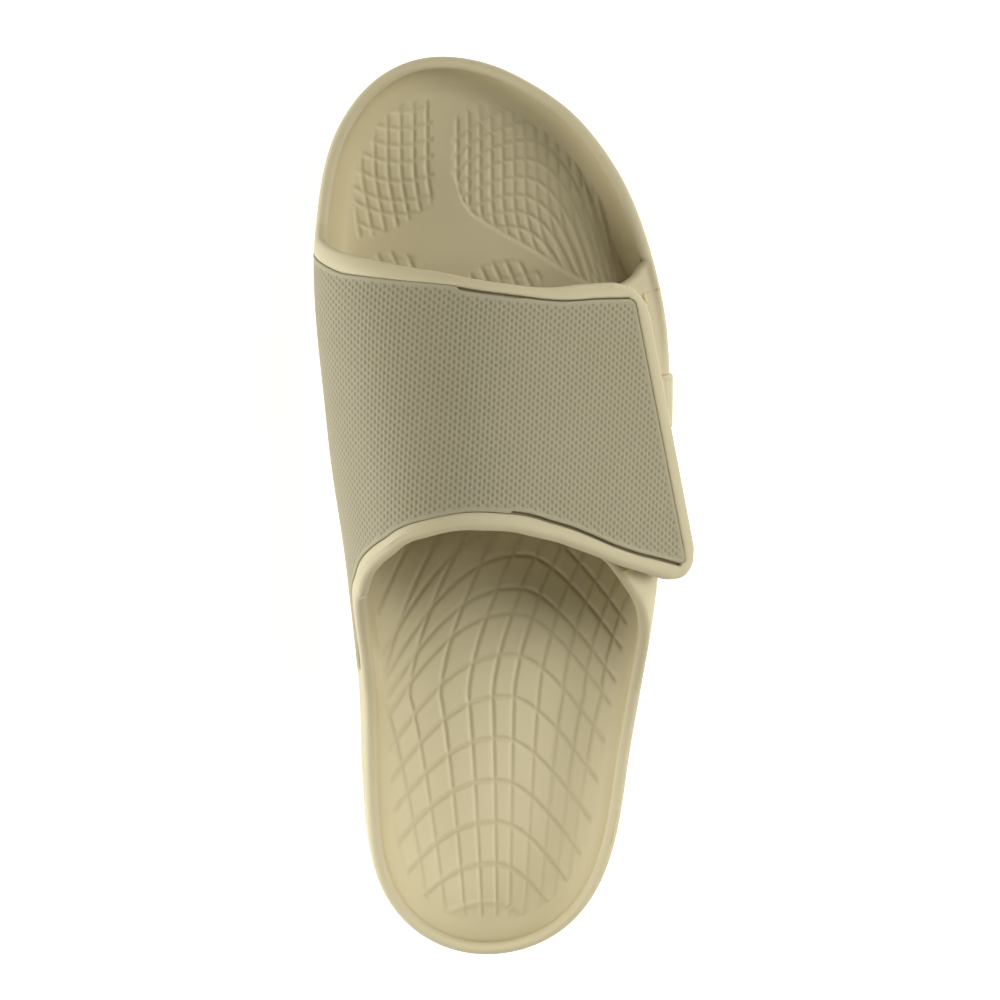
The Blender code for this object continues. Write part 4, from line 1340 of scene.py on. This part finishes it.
def bead(name, path, radius, finish):
    """Thin raised line along a path, round in section and pointed at both ends."""
    t = np.linspace(0, 1, len(path))
    ahead = np.gradient(path, axis=0)
    ahead = ahead / np.linalg.norm(ahead, axis=1, keepdims=True)
    side = np.cross(ahead, np.array([0.3, 0.2, 1.0]))
    side = side / np.linalg.norm(side, axis=1, keepdims=True)
    up = np.cross(side, ahead)
    a = np.linspace(0, 2 * math.pi, 11)[None, :, None]
    size = (radius * np.sin(math.pi * t) ** 0.5 * (1 + 0.25 * np.sin(t * 17.0)))[:, None, None]
    tube = path[:, None] + size * (side[:, None] * np.cos(a) + up[:, None] * np.sin(a))
    tube[0] = path[0]
    tube[-1] = path[-1]
    tube[:, -1] = tube[:, 0]
    solid(name, [(tube, 0, 0)], finish, None)


def edge_at(x, y):
    """Column of the upper's free edge nearest to a place of the plan."""
    return np.hypot(edge[6, :, 0] - x, edge[6, :, 1] - y).argmin()


def wing_place(x, y):
    """Points of the wing's face above places of the plan."""
    run = np.linspace(-2.0, 26.0, 560)
    face = wing_point(y[:, None], run, 0)
    nearest = np.abs(face[..., 0] - x[:, None]).argmin(1)
    return face[np.arange(len(y)), nearest]


# Mould lines: where the wing meets the toe wall, across the toe rim, along the heel rim
t = np.linspace(0, 1, 40)
bead("wing_step_line", wing_point(69.9 - 2.6 * t, -3.0 + 11.0 * t, 0.26), 0.5, upper_foam)
toe_at = edge_at(31.0, 110.6)
bead("toe_mould_line", edge[1:12, toe_at], 0.16, upper_foam)
heel_at = edge_at(34.6, -103.0)
bead("heel_mould_line", edge[4, heel_at - 4:heel_at + 5], 0.28, upper_foam)

# Small mould mark on the strap's back edge
mark_at = edge_at(-42.9, -29.1)
bead("strap_mould_mark", edge[3:10, mark_at], 0.8, upper_foam)

# Amber beads of painted shade on the wing at the flap's front corner and under its back edge
bead("flap_painted_shade_front", wing_place(44.6 + 0.4 * t, 67.4 - 5.2 * t), 0.8, amber_flap_painted_shade)
bead("flap_painted_shade_back", wing_place(37.0 + 7.0 * t, -21.0 + 3.0 * t), 0.8, amber_flap_painted_shade)

# Fastening pads keep their shape and take tape finishes
for node, finish in (("hook_pad", hook_tape), ("loop_pad", loop_tape)):
    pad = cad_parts[node]
    pad.material_slots[0].material = finish

# Floor, light and camera, in metres
FLOOR_HALF = 4.0
FLOOR_Z = -0.0004
CAMERA_Z = 1.50
FRAMED_Z = 0.030
FRAMED_WIDTH = 0.320
LAMP_REACH = 1.6
LAMP_SIZE = 0.7
floor_mesh = bpy.data.meshes.new("floor")
corners = [(x * FLOOR_HALF, y * FLOOR_HALF, FLOOR_Z) for x, y in ((-1, -1), (1, -1), (1, 1), (-1, 1))]
floor_mesh.from_pydata(corners, [], [(0, 1, 2, 3)])
floor = bpy.data.objects.new("floor", floor_mesh)
bpy.context.scene.collection.objects.link(floor)
pale = Finish("pale_floor", 0.6, 0.3)
pale.shader.inputs["Base Color"].default_value = (0.9, 0.9, 0.9, 1.0)
pale.shader.inputs["Emission Color"].default_value = (1.0, 1.0, 1.0, 1.0)
pale.shader.inputs["Emission Strength"].default_value = 0.62
floor_mesh.materials.append(pale.material)

world = bpy.data.worlds.new("studio")
bpy.context.scene.world = world
world.use_nodes = True
world.node_tree.nodes["Background"].inputs["Color"].default_value = (1.0, 1.0, 1.0, 1.0)
world.node_tree.nodes["Background"].inputs["Strength"].default_value = 0.02


# Round softboxes aimed at the shoe: azimuth (0 toe side, 90 lateral), height in degrees, watts
for name, azimuth, height, power in (
    ("key_toe_lateral", 45, 55, 8.5),
    ("fill_lateral", 90, 32, 9.4),
    ("fill_medial_low", 270, 12, 15.4),
    ("fill_heel_high", 180, 55, 1.0),
    ("fill_heel_medial", 225, 32, 3.4),
):
    data = bpy.data.lights.new(name, "AREA")
    data.shape = "DISK"
    data.size = LAMP_SIZE
    data.energy = power
    box = bpy.data.objects.new(name, data)
    bpy.context.scene.collection.objects.link(box)
    a = math.radians(azimuth)
    e = math.radians(height)
    level = LAMP_REACH * math.cos(e)
    box.location = (level * math.sin(a), level * math.cos(a), LAMP_REACH * math.sin(e))
    box.rotation_euler = (math.radians(90.0 - height), 0.0, math.pi - a)

# Gridded lamp straight above the heel
lamp = bpy.data.lights.new("heel_accent", "SPOT")
lamp.energy = 14.0
lamp.spot_size = math.radians(7.6)
lamp.spot_blend = 1.0
lamp.shadow_soft_size = 0.02
accent = bpy.data.objects.new("heel_accent", lamp)
accent.location = (0.0, -0.118, 1.25)
bpy.context.scene.collection.objects.link(accent)

view = bpy.data.cameras.new("camera")
view.sensor_width = 36.0
view.lens = view.sensor_width * (CAMERA_Z - FRAMED_Z) / FRAMED_WIDTH
camera = bpy.data.objects.new("camera", view)
camera.location = (-0.0003, 0.00176, CAMERA_Z)
bpy.context.scene.collection.objects.link(camera)
bpy.context.scene.camera = camera
bpy.context.scene.view_settings.view_transform = "Standard"
